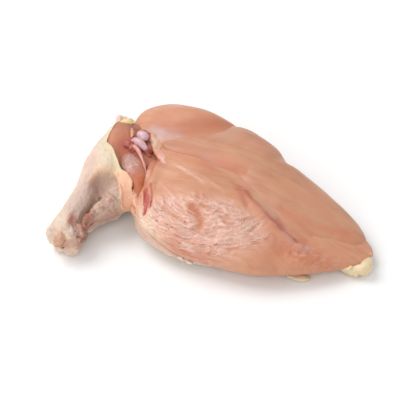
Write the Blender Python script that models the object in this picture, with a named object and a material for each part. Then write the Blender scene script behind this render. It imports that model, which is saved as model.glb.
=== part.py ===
"""A raw chicken breast lying skin side down, with the inner fillet and the first wing joint still on it.

Metres, +Z up. +X runs from the wing's cut end to the breast's pointed tip, and +Y points away from the
edge where the ribs were. The origin is on the table, under the middle of the whole piece.
"""

import math

import bmesh
import bpy
import numpy as np
from mathutils import Matrix, Vector

# The length from the wing's cut end to the tip drives the size. Outlines are traced in 22nds of it.
LENGTH = 0.20
UNIT = LENGTH / 22

GAP = 0.00045
SKIN_THICKNESS = 0.0017
CONTACT_DEPTH = 0.0004
SIDE_GROWTH = 1.5
WELD = 0.00001

FLESH = (0.72, 0.42, 0.30)
PALE_FLESH = (0.75, 0.48, 0.36)
DARK_FLESH = (0.50, 0.22, 0.17)
SKIN = (0.85, 0.74, 0.62)
CARTILAGE = (0.80, 0.66, 0.70)
FAT = (0.86, 0.74, 0.50)

# The breast's long axis starts at the shoulder and is turned clockwise from +X.
SHOULDER = (-3.9, 2.1)
AXIS_TURN = math.radians(27.7)

# Heights in units at these distances along the axis: the flat upper sides and the rounded rims.
STATIONS = (-3.5, 0.0, 3.0, 6.0, 9.0, 12.0, 14.5, 16.5)
BREAST_TOP = (3.0, 3.5, 3.6, 3.5, 3.1, 2.4, 1.7, 1.15)
BREAST_RIM = (1.9, 1.8, 1.7, 1.6, 1.45, 1.2, 0.95, 0.7)
FILLET_TOP = (3.3, 3.6, 3.95, 3.9, 3.45, 2.7, 1.95, 1.35)
FILLET_RIM = (3.2, 3.2, 2.9, 2.65, 2.3, 1.8, 1.3, 1.0)
FILLET_UNDER = (2.2, 2.0, 1.8, 1.7, 1.5, 1.2, 0.9, 0.7)

# Plan outlines in units, anticlockwise from the tip.
BREAST_MIDDLE = (1.8, -0.6)
BREAST_OUTLINE = (
    (10.65, -5.15),
    (9.75, -3.3),
    (8.5, -1.75),
    (6.0, 0.75),
    (3.6, 4.1),
    (1.2, 5.95),
    (-0.9, 7.3),
    (-3.1, 7.8),
    (-4.7, 6.7),
    (-5.0, 4.6),
    (-4.3, 2.4),
    (-4.3, 0.2),
    (-5.0, -1.9),
    (-4.3, -3.7),
    (-2.4, -5.5),
    (0.2, -6.6),
    (3.0, -7.3),
    (5.5, -7.15),
    (8.2, -6.6),
    (9.9, -5.95),
)
FILLET_MIDDLE = (3.4, 0.4)
FILLET_OUTLINE = (
    (10.1, -4.7),
    (9.8, -3.15),
    (8.6, -1.5),
    (6.15, 0.95),
    (4.9, 2.75),
    (3.7, 3.85),
    (2.0, 4.9),
    (0.2, 4.65),
    (-1.6, 3.8),
    (-2.95, 3.2),
    (-3.0, 2.4),
    (-1.4, 1.0),
    (0.9, -0.5),
    (2.2, -1.6),
    (4.6, -4.1),
    (6.3, -5.1),
    (8.4, -5.2),
)

# The skin wraps the breast's underside: 0 is the middle below, 1 the rim and 2 the middle on top.
SKIN_BEARINGS_DEG = (-180, -150, -136, -122, -105, -60, -30, -15, 30, 60, 90, 120, 135, 150, 180)
SKIN_COVER = (1.02, 1.06, 1.02, 0.84, 0.74, 0.72, 0.84, 0.8, 0.88, 0.92, 0.94, 0.98, 1.02, 1.05, 1.02)

# The wing is a bent, tapering tube: its outer side, its inner side, its lowest and its highest height, in units.
WING_SECTIONS = (
    ((-3.4, 5.5), (-3.4, -2.2), 0.75, 2.7),
    ((-6.0, 5.95), (-5.3, -2.0), 0.2, 3.7),
    ((-7.45, 4.0), (-5.95, -2.55), 0.05, 3.8),
    ((-8.5, 2.0), (-6.55, -2.9), 0.0, 3.5),
    ((-9.25, -0.2), (-7.25, -3.3), 0.0, 3.05),
    ((-9.8, -1.8), (-7.9, -3.85), 0.0, 2.6),
    ((-10.4, -3.15), (-8.2, -4.6), 0.0, 2.4),
    ((-10.75, -4.1), (-8.65, -5.3), 0.05, 2.25),
)

# Spines and radii of the round pieces, in units.
BONE_SPINE = (
    (-4.68, 2.75, 3.85),
    (-4.8, 2.5, 3.4),
    (-5.2, 2.1, 2.75),
    (-6.2, 1.3, 2.2),
    (-8.0, -1.4, 1.5),
    (-9.05, -3.6, 1.3),
    (-9.6, -4.95, 1.3),
)
BONE_RADII = (0.36, 0.42, 0.36, 0.3, 0.27, 0.4, 0.52)
KNOB_SPINE = ((-4.8, 3.4, 3.45), (-4.38, 3.25, 3.6), (-3.9, 2.95, 3.35))
KNOB_RADII = (0.42, 0.46, 0.42)
ARM_SPINE = ((-5.45, 2.2, 2.45), (-5.1, 1.4, 2.65), (-4.8, 0.3, 2.65), (-4.65, -0.9, 2.0), (-4.85, -1.95, 1.15))
ARM_RADII = (0.5, 0.85, 0.92, 0.68, 0.3)
TIP_FAT_SPINE = ((8.9, -6.5, 0.45), (9.7, -6.35, 0.5), (10.35, -5.9, 0.5), (10.6, -5.4, 0.55))
TIP_FAT_RADII = (0.35, 0.5, 0.5, 0.35)

WING_FULLNESS = 2.3
WING_HOLLOW_PLACES = (0, 1, 2, 3, 4, 5, 6, 7)
WING_HOLLOW_MIDDLES = (0.6, 0.56, 0.52, 0.5, 0.54, 0.58, 0.55, 0.5)
WING_HOLLOW_DEPTHS = (0.0, 0.15, 0.9, 1.3, 1.15, 0.8, 0.4, 0.1)
WING_HOLLOW_WIDTH = 0.3

# The places along the wing's sections where its skin and its meat end.
SLEEVE_END = 6.85
MEAT_END = 7.0


def smooth_curve(xs, ys):
    """A smooth function through unevenly spaced values, as cubic pieces with their neighbours' slopes."""
    xs = np.asarray(xs, float)
    ys = np.asarray(ys, float)
    slopes = np.gradient(ys, xs, axis=0)

    def curve(x):
        x = np.clip(x, xs[0], xs[-1])
        i = np.clip(np.searchsorted(xs, x) - 1, 0, len(xs) - 2)
        width = xs[i + 1] - xs[i]
        t = (x - xs[i]) / width
        if ys.ndim > 1:
            t = np.expand_dims(t, -1)
            width = np.expand_dims(width, -1)
        start = (2 * t**3 - 3 * t**2 + 1) * ys[i] + (t**3 - 2 * t**2 + t) * width * slopes[i]
        end = (3 * t**2 - 2 * t**3) * ys[i + 1] + (t**3 - t**2) * width * slopes[i + 1]
        return start + end

    return curve


def closed_reach(outline, middle):
    """How far an outline lies from its middle, in metres, as a smooth function of the bearing."""
    offsets = np.array(outline) - np.array(middle)
    bearings = np.unwrap(np.arctan2(offsets[:, 1], offsets[:, 0]))
    reaches = np.hypot(offsets[:, 0], offsets[:, 1]) * UNIT
    turn = 2 * math.pi
    curve = smooth_curve(
        np.concatenate([bearings[-3:] - turn, bearings, bearings[:3] + turn]),
        np.concatenate([reaches[-3:], reaches, reaches[:3]]),
    )
    return lambda bearing: curve((bearing - bearings[0]) % turn + bearings[0])


def station(x, y):
    """Distance from the shoulder along the breast's long axis, in units."""
    dx = x / UNIT - SHOULDER[0]
    dy = y / UNIT - SHOULDER[1]
    return dx * math.cos(AXIS_TURN) - dy * math.sin(AXIS_TURN)


def height_by_station(heights):
    """A height in metres, as a function of the place in plan."""
    curve = smooth_curve(STATIONS, heights)
    return lambda x, y: curve(station(x, y)) * UNIT


def distance_to_path(x, y, path, samples=40):
    """Distance in metres from places in plan to a smooth path."""
    places = np.linspace(0, len(path) - 1, samples)
    points = smooth_curve(range(len(path)), path)(places) * UNIT
    return np.sqrt((x[..., None] - points[:, 0]) ** 2 + (y[..., None] - points[:, 1]) ** 2).min(-1)


def bulge(x, y, at, reach, turn_deg, rise):
    """A soft oval rise, or a hollow if the rise is negative."""
    dx = x / UNIT - at[0]
    dy = y / UNIT - at[1]
    turn = math.radians(turn_deg)
    along = dx * math.cos(turn) + dy * math.sin(turn)
    across = dy * math.cos(turn) - dx * math.sin(turn)
    return rise * UNIT * np.exp(-((along / reach[0]) ** 2) - (across / reach[1]) ** 2)


def crease(x, y, path, width, depth):
    """A groove along a path, or a ridge if the depth is negative."""
    return -depth * UNIT * np.exp(-((distance_to_path(x, y, path) / (width * UNIT)) ** 2))


def breast_relief(x, y):
    """The main forms of the breast's upper side around the fillet and the shoulder."""
    seam_lip = ((2.4, -2.2), (3.6, -3.6), (4.6, -4.7), (5.7, -5.6))
    rib_side_groove = ((-3.95, 1.6), (-3.9, 0.4), (-4.2, -0.8), (-4.7, -2.2))
    return (
        bulge(x, y, (-1.3, 5.4), (3.6, 1.6), -14, 0.85)
        + bulge(x, y, (-1.0, -2.3), (3.0, 2.2), -35, 0.25)
        + bulge(x, y, (-4.0, 1.7), (0.85, 1.0), 0, -1.0)
        + bulge(x, y, (4.7, -6.1), (1.2, 0.7), 10, -0.25)
        + crease(x, y, seam_lip, 0.45, -0.22)
        + crease(x, y, rib_side_groove, 0.45, 0.4)
    )


def fillet_relief(x, y):
    """The long shallow furrows of the fillet, where its two sides meet at the tendon."""
    furrow = ((4.8, -3.1), (6.4, -4.0), (8.0, -4.5))
    return (
        crease(x, y, furrow, 0.3, 0.12)
        + bulge(x, y, (1.5, 1.5), (3.0, 1.0), -45, 0.12)
        + bulge(x, y, (-1.6, 2.9), (0.9, 0.5), -40, 0.15)
    )


def disc_grid(divisions):
    """A square grid eased into a disc: each point's distance from the middle, its bearing, and the quads."""
    line = np.linspace(-1, 1, divisions + 1)
    across, up = np.meshgrid(line, line, indexing="ij")
    disc_x = across * np.sqrt(1 - up**2 / 2)
    disc_y = up * np.sqrt(1 - across**2 / 2)
    index = np.arange((divisions + 1) ** 2).reshape(divisions + 1, divisions + 1)
    quads = np.stack([index[:-1, :-1], index[1:, :-1], index[1:, 1:], index[:-1, 1:]], -1).reshape(-1, 4)
    return np.hypot(disc_x, disc_y).ravel().clip(0, 1), np.arctan2(disc_y, disc_x).ravel(), quads


def muscle_points(outline, middle, heights, fullness, radius, bearing, relief, grow=0.0):
    """Upper and lower points of a cushion-shaped muscle. Heights are functions: its top, its rim and its underside."""
    top, rim, under = heights
    reach = closed_reach(outline, middle)(bearing) + SIDE_GROWTH * grow
    angle = radius * math.pi / 2
    spread = np.sin(angle) ** (2 / fullness) * reach
    dome = np.cos(angle).clip(0, 1) ** (2 / fullness)
    x = middle[0] * UNIT + spread * np.cos(bearing)
    y = middle[1] * UNIT + spread * np.sin(bearing)
    upper = rim(x, y) + (top(x, y) + relief(x, y) + grow - rim(x, y)) * dome
    lower = rim(x, y) - (rim(x, y) + grow - under(x, y)) * dome
    return np.stack([x, y, upper], -1), np.stack([x, y, lower], -1)


def mesh_object(name, points, faces, colour, roughness):
    """A named object of one closed mesh, with its finish."""
    mesh = bmesh.new()
    verts = [mesh.verts.new(Vector(p)) for p in points]
    for face in faces:
        mesh.faces.new([verts[i] for i in face])
    bmesh.ops.remove_doubles(mesh, verts=mesh.verts, dist=1e-6)
    bmesh.ops.recalc_face_normals(mesh, faces=mesh.faces)
    bmesh.ops.triangulate(mesh, faces=mesh.faces, quad_method="SHORT_EDGE")
    data = bpy.data.meshes.new(name)
    mesh.to_mesh(data)
    mesh.free()
    data.shade_smooth()
    obj = bpy.data.objects.new(name, data)
    bpy.context.scene.collection.objects.link(obj)
    material = bpy.data.materials.new(name)
    material.use_nodes = True
    shader = material.node_tree.nodes["Principled BSDF"]
    shader.inputs["Base Color"].default_value = (*colour, 1)
    shader.inputs["Roughness"].default_value = roughness
    data.materials.append(material)
    return obj


def muscle(outline, middle, heights, fullness, divisions, relief, grow):
    """Points and faces of a closed muscle: an upper and a lower sheet that meet at the rim."""
    radius, bearing, quads = disc_grid(divisions)
    upper, lower = muscle_points(outline, middle, heights, fullness, radius, bearing, relief, grow)
    faces = [*quads.tolist(), *(quads[:, ::-1] + len(upper)).tolist()]
    return [*upper, *lower], faces


def ring_faces(rings, sides):
    """Faces of a tube of rings, closed by a flat cap at each end."""
    index = np.arange(rings * sides).reshape(rings, sides)
    turned = np.roll(index, -1, axis=1)
    walls = np.stack([index[:-1], turned[:-1], turned[1:], index[1:]], -1).reshape(-1, 4)
    return [*walls.tolist(), index[0, ::-1].tolist(), index[-1].tolist()]


def limb(spine, radii, rings, sides, grow):
    """Points and faces of a round-ended body along a smooth spine."""
    knots = range(len(spine))
    spine_at = smooth_curve(knots, np.array(spine) * UNIT)
    radius_at = smooth_curve(knots, np.array(radii) * UNIT)
    last = len(spine) - 1
    points = []
    for turn in np.linspace(-0.96, 0.96, rings) * math.pi / 2:
        place = (1 + math.sin(turn)) / 2 * last
        ahead = Vector(spine_at(min(place + 0.01, last)) - spine_at(max(place - 0.01, 0))).normalized()
        side = ahead.cross(Vector((0, 0, 1))).normalized()
        up = side.cross(ahead)
        radius = (float(radius_at(place)) + grow) * math.cos(turn) ** 0.6
        centre = Vector(spine_at(place)) + ahead * grow * math.sin(turn)
        for k in range(sides):
            angle = 2 * math.pi * k / sides
            points.append(centre + (side * math.cos(angle) + up * math.sin(angle)) * radius)
    return points, ring_faces(rings, sides)


def wing_point(place, angle):
    """A point on the wing's skin. Place runs from the shoulder to the cut end, and angle goes round the wing."""
    sections = smooth_curve(
        range(len(WING_SECTIONS)),
        [(*outer, *inner, low, high) for outer, inner, low, high in WING_SECTIONS],
    )(place)
    outer, inner, low, high = sections[0:2], sections[2:4], sections[4], sections[5]
    across = math.copysign(abs(math.cos(angle)) ** (2 / WING_FULLNESS), math.cos(angle))
    up = math.copysign(abs(math.sin(angle)) ** (2 / WING_FULLNESS), math.sin(angle))
    x, y = (outer + inner) / 2 + (inner - outer) / 2 * across
    height = (low + high) / 2 + (high - low) / 2 * up
    hollow_middle = float(smooth_curve(WING_HOLLOW_PLACES, WING_HOLLOW_MIDDLES)(place))
    hollow_depth = float(smooth_curve(WING_HOLLOW_PLACES, WING_HOLLOW_DEPTHS)(place))
    height -= hollow_depth * max(up, 0) * math.exp(-(((across - hollow_middle) / WING_HOLLOW_WIDTH) ** 2))
    return x * UNIT, y * UNIT, height * UNIT


def neckline(angle):
    """Where the wing's skin starts: on the breast's skin below, and cut back over the top of the shoulder."""
    opening = min(max(1 + math.sin(angle) / 0.35, 0.0), 1.0)
    return 0.15 + opening * (0.8 + 0.9 * math.exp(-(((math.cos(angle) + 0.3) / 0.42) ** 2)))


def wing_tube(start_of, end, inset, rings=16, sides=24):
    """Points and faces of the wing's tube between two places, as skin or as the meat inside it."""
    grid = []
    for step in np.linspace(0, 1, rings):
        for angle in np.linspace(0, 2 * math.pi, sides, endpoint=False):
            start = start_of(angle)
            grid.append(wing_point(start + (end - start) * step, angle))
    grid = np.array(grid).reshape(rings, sides, 3)
    around = np.roll(grid, -1, axis=1) - np.roll(grid, 1, axis=1)
    outward = np.cross(around, np.gradient(grid, axis=0))
    outward /= np.linalg.norm(outward, axis=-1, keepdims=True)
    return [*(grid - outward * inset).reshape(-1, 3)], ring_faces(rings, sides)


def skin_sheet(heights, fullness, divisions):
    """Points and faces of the breast's skin, which follows its underside and turns up over the rim in places."""
    radius, bearing, quads = disc_grid(divisions)
    cover = smooth_curve(np.radians(SKIN_BEARINGS_DEG), SKIN_COVER)(bearing) * radius
    folded = np.where(cover > 1, 2 - cover, cover)
    upper, lower = muscle_points(
        BREAST_OUTLINE, BREAST_MIDDLE, heights, fullness, folded, bearing, breast_relief
    )
    sheet = bmesh.new()
    verts = [sheet.verts.new(Vector(p)) for p in np.where(cover[:, None] > 1, upper, lower)]
    for quad in quads:
        sheet.faces.new([verts[i] for i in quad[::-1]])
    sheet.normal_update()
    sheet.verts.index_update()
    inner = [vert.co - vert.normal * GAP for vert in verts]
    outer = [vert.co + vert.normal * (GAP + SKIN_THICKNESS) for vert in verts]
    loops = [edge.link_loops[0] for edge in sheet.edges if edge.is_boundary]
    rim = [(loop.vert.index, loop.link_loop_next.vert.index) for loop in loops]
    sheet.free()
    count = len(inner)
    walls = [(b, a, a + count, b + count) for a, b in rim]
    return inner + outer, [*quads.tolist(), *(quads[:, ::-1] + count).tolist(), *walls]


def combine(obj, shapes, operation):
    """Joins or cuts an object with helper shapes, which are then removed, and drops loose scraps."""
    helpers = [mesh_object("helper", points, faces, SKIN, 0.5) for points, faces in shapes]
    for helper in helpers:
        modifier = obj.modifiers.new("combine", "BOOLEAN")
        modifier.operation = operation
        modifier.object = helper
    evaluated = obj.evaluated_get(bpy.context.evaluated_depsgraph_get())
    data = bpy.data.meshes.new_from_object(evaluated)
    obj.modifiers.clear()
    obj.data = data
    for helper in helpers:
        bpy.data.objects.remove(helper)
    drop_scraps(data)


def drop_scraps(data):
    """Keeps the largest connected body of a mesh, and merges the short edges that a cut leaves."""
    mesh = bmesh.new()
    mesh.from_mesh(data)
    bmesh.ops.remove_doubles(mesh, verts=mesh.verts, dist=WELD)
    bmesh.ops.dissolve_degenerate(mesh, edges=mesh.edges, dist=WELD)
    left = set(mesh.verts)
    bodies = []
    while left:
        body = set()
        front = [next(iter(left))]
        while front:
            vert = front.pop()
            if vert not in body:
                body.add(vert)
                front.extend(edge.other_vert(vert) for edge in vert.link_edges)
        left -= body
        bodies.append(body)
    for body in sorted(bodies, key=len)[:-1]:
        bmesh.ops.delete(mesh, geom=list(body), context="VERTS")
    mesh.to_mesh(data)
    mesh.free()


def rest_on_table(data):
    """Flattens what would dip below the table, which gives the piece its flat spots to lie on."""
    for vert in data.vertices:
        vert.co.z = max(vert.co.z, 0.0)


def centre_in_plan(objects):
    """Moves every piece so that the origin is under the middle of the whole."""
    corners = np.array([corner for obj in objects for corner in obj.bound_box])
    middle = (corners.min(0) + corners.max(0)) / 2
    for obj in objects:
        obj.data.transform(Matrix.Translation((-middle[0], -middle[1], 0)))


def build():
    """Makes every piece, then cuts each back from the ones that it touches."""
    for obj in list(bpy.data.objects):
        bpy.data.objects.remove(obj)

    breast_heights = (
        height_by_station(BREAST_TOP),
        height_by_station(BREAST_RIM),
        lambda x, y: np.full_like(x, SKIN_THICKNESS + GAP - CONTACT_DEPTH),
    )
    fillet_heights = (
        height_by_station(FILLET_TOP),
        height_by_station(FILLET_RIM),
        height_by_station(FILLET_UNDER),
    )
    pieces = {
        "wing_bone": (CARTILAGE, lambda grow: limb(BONE_SPINE, BONE_RADII, 16, 12, grow)),
        "shoulder_cartilage": (CARTILAGE, lambda grow: limb(KNOB_SPINE, KNOB_RADII, 10, 12, grow)),
        "arm_muscle": (DARK_FLESH, lambda grow: limb(ARM_SPINE, ARM_RADII, 16, 16, grow)),
        "inner_fillet": (
            PALE_FLESH,
            lambda grow: muscle(FILLET_OUTLINE, FILLET_MIDDLE, fillet_heights, 2.5, 20, fillet_relief, grow),
        ),
        "breast_muscle": (
            FLESH,
            lambda grow: muscle(BREAST_OUTLINE, BREAST_MIDDLE, breast_heights, 2.7, 22, breast_relief, grow),
        ),
        "wing_meat": (
            DARK_FLESH,
            lambda grow: wing_tube(lambda angle: 0.0, MEAT_END, SKIN_THICKNESS + 2 * (GAP - grow)),
        ),
        "tip_fat": (FAT, lambda grow: limb(TIP_FAT_SPINE, TIP_FAT_RADII, 10, 10, grow)),
    }
    cutters = []
    for name, (colour, shape) in pieces.items():
        obj = mesh_object(name, *shape(0.0), colour, 0.35)
        if cutters:
            combine(obj, cutters, "DIFFERENCE")
        rest_on_table(obj.data)
        cutters.append(shape(GAP))

    skin = mesh_object("skin", *skin_sheet(breast_heights, 2.7, 18), SKIN, 0.45)
    combine(skin, [wing_tube(neckline, SLEEVE_END, 0.0)], "UNION")
    combine(skin, cutters, "DIFFERENCE")
    rest_on_table(skin.data)
    centre_in_plan([*bpy.context.scene.objects])


build()
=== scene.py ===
"""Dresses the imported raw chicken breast: moist muscle, inner fillet, loose pale skin, cut joint and fat.

Outlines, paths and heights are in 22nds of 200 mm, as they are in the solids' source. The plan is then moved
by PLAN_SHIFT, so that the origin lies on the table under the middle of the whole piece.
"""

from __future__ import annotations

import logging
import math
from collections.abc import Callable, Sequence
from dataclasses import dataclass, field
from enum import Enum

import bpy
import numpy as np
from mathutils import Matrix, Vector

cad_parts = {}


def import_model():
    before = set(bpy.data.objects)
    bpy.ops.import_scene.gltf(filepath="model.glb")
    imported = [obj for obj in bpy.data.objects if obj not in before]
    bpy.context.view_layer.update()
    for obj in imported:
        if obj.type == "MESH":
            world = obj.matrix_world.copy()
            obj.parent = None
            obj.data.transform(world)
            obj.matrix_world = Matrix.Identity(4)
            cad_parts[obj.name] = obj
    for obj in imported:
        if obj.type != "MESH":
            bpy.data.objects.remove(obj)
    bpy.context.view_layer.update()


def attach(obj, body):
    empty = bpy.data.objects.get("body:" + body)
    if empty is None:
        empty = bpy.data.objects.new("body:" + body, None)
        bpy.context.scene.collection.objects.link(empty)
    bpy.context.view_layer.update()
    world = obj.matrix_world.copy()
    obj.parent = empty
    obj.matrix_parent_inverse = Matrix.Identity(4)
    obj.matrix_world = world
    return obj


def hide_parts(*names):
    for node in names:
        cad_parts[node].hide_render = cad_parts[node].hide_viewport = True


LOG = logging.getLogger("chicken_breast")

LENGTH = 0.20
UNIT = LENGTH / 22
PLAN_SHIFT = (0.00058, 0.00332)
TURN = 2 * math.pi
# In units, like every length in plan.
SKIN_THICKNESS = 0.187
# How many points stand for a path, in plan and in space, when the distance to it is measured.
PATH_SAMPLES = 60
SPOT_SAMPLES = 40
FAR_AWAY = 1e9

Array = np.ndarray
Path = Sequence[tuple[float, ...]]
Colour = tuple[float, float, float]


def smooth_curve(xs: Sequence[float], ys: Sequence) -> Callable[[Array | float], Array]:
    """A smooth function through unevenly spaced values.

    Args:
        xs: Rising places.
        ys: The value at each place, a number or a row of numbers.

    Returns:
        A function that gives the value at any place, held at the ends.
    """
    places = np.asarray(xs, float)
    values = np.asarray(ys, float)
    slopes = np.gradient(values, places, axis=0)

    def curve(x: Array | float) -> Array:
        """The value at x."""
        x = np.clip(x, places[0], places[-1])
        i = np.clip(np.searchsorted(places, x) - 1, 0, len(places) - 2)
        width = places[i + 1] - places[i]
        t = (x - places[i]) / width
        if values.ndim > 1:
            t = np.expand_dims(t, -1)
            width = np.expand_dims(width, -1)
        start = (2 * t**3 - 3 * t**2 + 1) * values[i] + (t**3 - 2 * t**2 + t) * width * slopes[i]
        end = (3 * t**2 - 2 * t**3) * values[i + 1] + (t**3 - t**2) * width * slopes[i + 1]
        return start + end

    return curve


def ease(low: float, high: float, x: Array) -> Array:
    """A soft step from 0 at low to 1 at high."""
    t = np.clip((x - low) / (high - low), 0, 1)
    return t * t * (3 - 2 * t)


def curve_through(values: Sequence) -> Callable[[Array | float], Array]:
    """A smooth function through values at the places 0, 1, 2 and so on."""
    return smooth_curve(range(len(values)), values)


def path_points(path: Path, count: int) -> Array:
    """Evenly spread points on a smooth path."""
    return curve_through(path)(np.linspace(0, len(path) - 1, count))


@dataclass(frozen=True)
class Plan:
    """Places on a flat chart, and how they lie to its paths, spots and areas."""

    x: Array
    y: Array

    def near(self, path: Path, width: float) -> Array:
        """How close the places are to a path.

        Args:
            path: Points of the path.
            width: The distance at which the closeness has fallen to a third.

        Returns:
            1 on the path, falling softly to 0 away from it.
        """
        squared = np.full(self.x.shape, FAR_AWAY)
        for px, py in path_points(path, PATH_SAMPLES):
            squared = np.minimum(squared, (self.x - px) ** 2 + (self.y - py) ** 2)
        return np.exp(-squared / width**2)

    def inside(self, outline: Path, softness: float) -> Array:
        """How far inside an outline the places are.

        Args:
            outline: Corners of the area.
            softness: The width of the soft edge.

        Returns:
            1 well inside the outline and 0 well outside it.
        """
        x, y = self.x, self.y
        inside = np.zeros(x.shape, bool)
        nearest = np.full(x.shape, FAR_AWAY)
        for (ax, ay), (bx, by) in zip(outline, [*outline[1:], outline[0]]):
            with np.errstate(divide="ignore", invalid="ignore"):
                at = ax + (y - ay) / (by - ay) * (bx - ax)
            inside ^= ((ay > y) != (by > y)) & (x < at)
            length = (bx - ax) ** 2 + (by - ay) ** 2
            along = np.clip(((x - ax) * (bx - ax) + (y - ay) * (by - ay)) / length, 0, 1)
            gap = np.hypot(x - ax - along * (bx - ax), y - ay - along * (by - ay))
            nearest = np.minimum(nearest, gap)
        return ease(-softness, softness, np.where(inside, nearest, -nearest))

    def spot(self, at: tuple[float, float], reach: tuple[float, float], turn_deg: float) -> Array:
        """How close the places are to the middle of a soft oval spot.

        Args:
            at: Its middle.
            reach: Its half length and half width.
            turn_deg: The bearing of its length.

        Returns:
            1 at the middle, falling to 0 outside.
        """
        turn = math.radians(turn_deg)
        dx, dy = self.x - at[0], self.y - at[1]
        along = dx * math.cos(turn) + dy * math.sin(turn)
        across = dy * math.cos(turn) - dx * math.sin(turn)
        return np.exp(-((along / reach[0]) ** 2) - (across / reach[1]) ** 2)


Relief = Callable[[Plan], Array]



@dataclass(frozen=True)
class Noise:
    """Repeatable random fields in space."""

    seed: int = 1

    def _hash(self, x: Array, y: Array, z: Array, channel: int) -> Array:
        """A random number from -1 to 1 for each cell."""
        mixed = (
            x.astype(np.int64) * 374761393
            + y.astype(np.int64) * 668265263
            + z.astype(np.int64) * 1440662683
            + (self.seed * 131 + channel) * 974634777
        ).astype(np.uint64)
        mixed ^= mixed >> np.uint64(13)
        mixed = (mixed * np.uint64(1274126177)) & np.uint64(0xFFFFFFFF)
        mixed ^= mixed >> np.uint64(16)
        mixed = (mixed * np.uint64(2246822519)) & np.uint64(0xFFFFFFFF)
        mixed ^= mixed >> np.uint64(15)
        return mixed.astype(float) / 2147483647.5 - 1

    def smooth(self, points: Array) -> Array:
        """Gradient noise.

        Args:
            points: Places, one row each, where 1 is the size of a spot.

        Returns:
            A number from about -1 to 1 for each place.
        """
        cell = np.floor(points).astype(np.int64)
        local = points - cell
        fade = local**3 * (local * (local * 6 - 15) + 10)
        total = np.zeros(len(points))
        for corner in range(8):
            offset = np.array([corner & 1, corner >> 1 & 1, corner >> 2 & 1])
            at = cell + offset
            weight = np.prod(np.where(offset, fade, 1 - fade), axis=1)
            slope = np.stack([self._hash(at[:, 0], at[:, 1], at[:, 2], k) for k in range(3)], 1)
            total += weight * ((local - offset) * slope).sum(1)
        return total * 1.5

    def fractal(self, points: Array, octaves: int = 3) -> Array:
        """Gradient noise with finer noise added, each octave at half the size and strength."""
        total = np.zeros(len(points))
        for octave in range(octaves):
            total += self.smooth(points * 2**octave + 17.3 * octave) / 2**octave
        return total

    def ridges(self, points: Array, octaves: int = 2) -> Array:
        """Thin crests, from 0 between them to 1 on them."""
        total = np.zeros(len(points))
        for octave in range(octaves):
            crest = (1 - np.abs(self.smooth(points * 2**octave + 5.1 * octave)) * 2.2).clip(0)
            total += crest**2 / 2**octave
        return total / (2 - 0.5 ** (octaves - 1))

    def ragged(self, points: Array, octaves: int = 3) -> Array:
        """Fractal noise from about 0 to 1, which makes spots and edges uneven."""
        return 0.5 + 0.5 * self.fractal(points, octaves)


def circle(angles: Array) -> Array:
    """Places on a circle of radius 1, one row for each angle."""
    return np.stack([np.cos(angles), np.sin(angles), np.zeros_like(angles)], -1)


def on_table(points: Array, height: float = 0.0) -> Array:
    """The points, with those below a height lifted to it."""
    return np.maximum(points, (-np.inf, -np.inf, height))


def numbered(rows: int, columns: int) -> Array:
    """The numbers of points that lie in rows."""
    return np.arange(rows * columns).reshape(rows, columns)


def disc_grid(divisions: int) -> tuple[Array, Array, Array]:
    """A square grid eased into a disc.

    Args:
        divisions: Cells along each side of the square.

    Returns:
        Each point's distance from the middle, its bearing, and the corner numbers of each cell.
    """
    line = np.linspace(-1, 1, divisions + 1)
    across, up = np.meshgrid(line, line, indexing="ij")
    disc_x = across * np.sqrt(1 - up**2 / 2)
    disc_y = up * np.sqrt(1 - across**2 / 2)
    index = numbered(divisions + 1, divisions + 1)
    quads = np.stack([index[:-1, :-1], index[1:, :-1], index[1:, 1:], index[:-1, 1:]], -1).reshape(-1, 4)
    return np.hypot(disc_x, disc_y).ravel().clip(0, 1), np.arctan2(disc_y, disc_x).ravel(), quads


def grid_rim(divisions: int) -> Array:
    """The numbers of a disc grid's outermost points, in order round it."""
    index = numbered(divisions + 1, divisions + 1)
    return np.concatenate([index[:-1, 0], index[-1, :-1], index[:0:-1, -1], index[0, :0:-1]])


def tube_faces(rings: int, sides: int, closed_ends: bool = True) -> list[list[int]]:
    """Faces of a tube of rings of points.

    Args:
        rings: How many rings.
        sides: Points on each ring.
        closed_ends: Whether each end gets a flat cap.

    Returns:
        The point numbers of each face.
    """
    index = numbered(rings, sides)
    turned = np.roll(index, -1, axis=1)
    walls = np.stack([index[:-1], turned[:-1], turned[1:], index[1:]], -1).reshape(-1, 4).tolist()
    return [*walls, index[0, ::-1].tolist(), index[-1].tolist()] if closed_ends else walls


def linked(name: str, data: bpy.types.ID) -> bpy.types.Object:
    """A new object in the scene, at the origin."""
    thing = bpy.data.objects.new(name, data)
    bpy.context.scene.collection.objects.link(thing)
    return thing


def new_piece(name: str, data: bpy.types.Mesh) -> bpy.types.Object:
    """A mesh as a piece of the scene, noted in the log."""
    LOG.info("%s: %d faces", name, len(data.polygons))
    return linked(name, data)


def mesh_piece(
    name: str, points: Array, faces: Sequence, masks: dict[str, Array] | None = None
) -> bpy.types.Object:
    """A piece of the scene from points in units.

    Args:
        name: The piece's name.
        points: One row for each point, in units, in the plan before its shift.
        faces: The point numbers of each face.
        masks: Numbers or rows of three for each point, which the materials read by name.

    Returns:
        The object, linked to the scene at the origin.
    """
    places = np.asarray(points, float) * UNIT - np.array([*PLAN_SHIFT, 0.0])
    data = bpy.data.meshes.new(name)
    data.from_pydata(places.tolist(), [], faces)
    data.validate()
    for label, values in (masks or {}).items():
        values = np.asarray(values, np.float32)
        kind, channel = ("FLOAT", "value") if values.ndim == 1 else ("FLOAT_VECTOR", "vector")
        data.attributes.new(label, kind, "POINT").data.foreach_set(channel, values.ravel())
    data.shade_smooth()
    return new_piece(name, data)


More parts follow.
